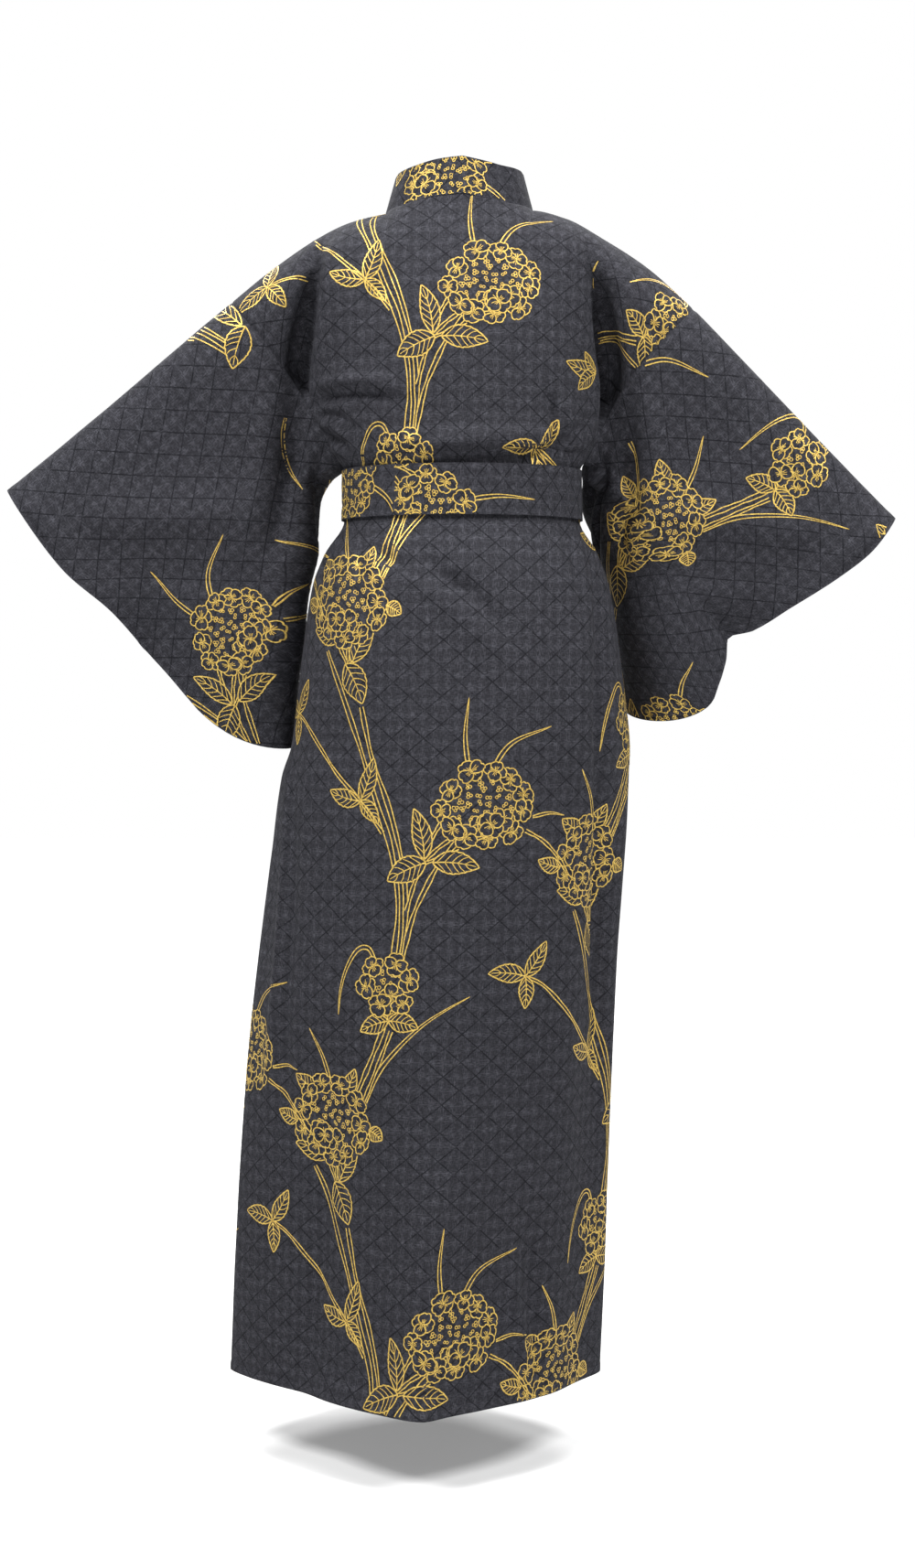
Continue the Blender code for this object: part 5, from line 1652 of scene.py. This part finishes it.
# ---------------------------------------------------------------- making
def make_robe():
    """Every cloth piece of the robe. Returns the cloths by name."""
    back = back_cloth()
    cloths = {"back_cloth": back}
    for side, name, inset in ((1, "left", 0.0), (-1, "right", WRAP_INSET)):
        cloths[f"front_{name}_cloth"] = front_cloth(f"front_{name}_cloth", side, inset)
        cloths[f"okumi_{name}_cloth"] = okumi_cloth(f"okumi_{name}_cloth", side, inset)
        for layer in ("back", "front"):
            sleeve = f"sleeve_{name}_{layer}_cloth"
            cloths[sleeve] = sleeve_cloth(sleeve, side, layer == "back")
        neck = len(HALF_PLACES) - 1 + side * NECK_COLUMNS
        shoulder = slice(neck, None) if side > 0 else slice(neck, None, -1)
        back.meet((0, shoulder), cloths[f"front_{name}_cloth"], (0, slice(None)))
        cloths[f"sleeve_{name}_back_cloth"].meet((0,), cloths[f"sleeve_{name}_front_cloth"], (0,))
    cloths["collar_band"] = collar_cloth()
    cloths["belt_long_band"] = belt_cloth("belt_long_band", BELT_SEAM_ANGLE, KNOT_ANGLE - 2 * math.pi)
    cloths["belt_short_band"] = belt_cloth("belt_short_band", BELT_SEAM_ANGLE, KNOT_ANGLE)
    cloths["belt_knot_band"] = knot_cloth()
    cloths["belt_end_left_band"] = belt_end_cloth("belt_end_left_band", 1)
    cloths["belt_end_right_band"] = belt_end_cloth("belt_end_right_band", -1)
    return cloths


def build_pieces(cloths, cotton, band):
    """The cloths as objects, on the robe's one body."""
    pieces = {}
    for name, cloth in cloths.items():
        if name.endswith("_cloth"):
            pieces[name] = cloth.mesh_object(cotton, name.startswith(("back", "front")))
        else:
            pieces[name] = cloth.mesh_object(band, thickness=BAND_THICKNESS)
        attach(pieces[name], "root")
    return pieces


FLOOR_Z = -1.52
FLOOR_REACH = 12.0
FLOOR_SHADE = (0.62, 0.62, 0.62, 1.0)
FLOOR_ROUGHNESS = 0.9
FLOOR_GLOW = 0.25                    # painted glow of the floor round the robe, which lifts its shadow; it is quite white from FLOOR_FAR on
FLOOR_NEAR, FLOOR_FAR = 1.4, 3.4
WHITE = (1.0, 1.0, 1.0, 1.0)
SURROUND_LIGHT = 0.05                # the surround is white to the eye and dim as a light
LIGHTS = (
    # name, place, aim, size, power
    ("high_left", (2.0, 1.7, 2.3), (0.1, 0.0, -0.5), (1.2, 1.2), 200.0),
    ("high_right", (-2.1, 1.6, 2.1), (-0.1, 0.0, -0.5), (1.2, 1.2), 172.0),
    ("overhead", (0.0, 0.4, 2.5), (0.0, 0.0, -0.6), (2.0, 1.2), 80.0),
    ("front_left", (1.6, -2.0, 2.0), (0.1, 0.0, -0.5), (1.4, 1.4), 110.0),
    ("front_right", (-1.6, -2.1, 2.0), (-0.1, 0.0, -0.5), (1.4, 1.4), 95.0),
    ("camera_fill", (0.2, 3.4, 0.3), (0.0, 0.0, -0.7), (2.0, 2.0), 16.0),
)
CAMERA_PLACE = (0.0056, 2.82, -0.60)
CAMERA_DOWN = math.radians(2.2)
CAMERA_LENS = 53.08
CAMERA_FRAME = 36.0


def lay_floor():
    """Plain pale floor, which meets the white surround. It glows: faint painted light round the robe, white
    further out.
    """
    mesh = bpy.data.meshes.new("studio_floor")
    corners = [(x * FLOOR_REACH, y * FLOOR_REACH, FLOOR_Z) for x, y in ((-1, -1), (1, -1), (1, 1), (-1, 1))]
    mesh.from_pydata(corners, [], [(0, 1, 2, 3)])
    floor = added("studio_floor", mesh)
    paper = bpy.data.materials.new("studio_paper")
    paper.use_nodes = True
    nodes = Nodes(paper.node_tree)
    shader = paper.node_tree.nodes["Principled BSDF"]
    parts = nodes.add("ShaderNodeSeparateXYZ", {0: nodes.add("ShaderNodeTexCoord").outputs["Object"]})
    squares = [nodes.maths("MULTIPLY", parts.outputs[i], parts.outputs[i]) for i in range(2)]
    distance = nodes.maths("SQRT", nodes.maths("ADD", squares[0], squares[1]))
    # The floor's own glow is painted light: faint round the robe, full white from FLOOR_FAR on.
    far = nodes.step(distance, FLOOR_NEAR, FLOOR_FAR)
    glow = nodes.maths("MULTIPLY_ADD", far, 1 - FLOOR_GLOW, FLOOR_GLOW)
    colour = nodes.add("ShaderNodeCombineXYZ", {0: glow, 1: glow, 2: glow})
    nodes.tree.links.new(colour.outputs[0], shader.inputs["Emission Color"])
    shader.inputs["Emission Strength"].default_value = 1.0
    shader.inputs["Base Color"].default_value = FLOOR_SHADE
    shader.inputs["Roughness"].default_value = FLOOR_ROUGHNESS
    mesh.materials.append(paper)


def set_surround():
    """White surround."""
    world = bpy.data.worlds.new("studio")
    world.use_nodes = True
    nodes = Nodes(world.node_tree)
    dim = world.node_tree.nodes["Background"]
    dim.inputs[0].default_value = WHITE
    dim.inputs[1].default_value = SURROUND_LIGHT
    white = nodes.add("ShaderNodeBackground", {"Color": WHITE, "Strength": 1.0})
    seen = nodes.add("ShaderNodeLightPath").outputs["Is Camera Ray"]
    both = nodes.add("ShaderNodeMixShader", {0: seen, 1: dim.outputs[0], 2: white.outputs[0]})
    nodes.tree.links.new(both.outputs[0], world.node_tree.nodes["World Output"].inputs["Surface"])
    bpy.context.scene.world = world


def hang_lights():
    """Soft light from all round."""
    for name, place, aim, size, power in LIGHTS:
        light = bpy.data.lights.new(name, "AREA")
        light.shape = "RECTANGLE"
        light.size, light.size_y = size
        light.energy = power
        lamp = added(name, light)
        lamp.location = place
        lamp.rotation_euler = (Vector(aim) - Vector(place)).to_track_quat("-Z", "Y").to_euler()


def place_camera():
    """Camera behind the robe, a little above its middle and turned slightly down."""
    data = bpy.data.cameras.new("camera")
    data.sensor_fit = "VERTICAL"
    data.sensor_height = CAMERA_FRAME
    data.sensor_width = CAMERA_FRAME
    data.lens = CAMERA_LENS
    camera = added("camera", data)
    camera.location = CAMERA_PLACE
    camera.rotation_euler = (math.pi / 2 - CAMERA_DOWN, 0.0, math.pi)
    bpy.context.scene.camera = camera
    bpy.context.scene.view_settings.view_transform = "Standard"


def main():
    weave, lattice, shade = weave_group(), lattice_group(), fade_group()
    cotton = cotton_material("printed_cotton", weave, lattice, shade)
    band = cotton_material("printed_cotton_band", weave, lattice, shade, turned=True)
    cloths = make_robe()
    pieces = build_pieces(cloths, cotton, band)
    for name, piece in pieces.items():
        nodes = (name.replace("_cloth", "").replace("_band", ""),)
        if nodes[0] in ("back", "front_left", "front_right"):
            nodes = (nodes[0] + "_above_belt", nodes[0] + "_below_belt")
        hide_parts(*nodes)
    prints = lay_print(cloths, gold_material())
    lay_floor()
    set_surround()
    hang_lights()
    place_camera()


main()
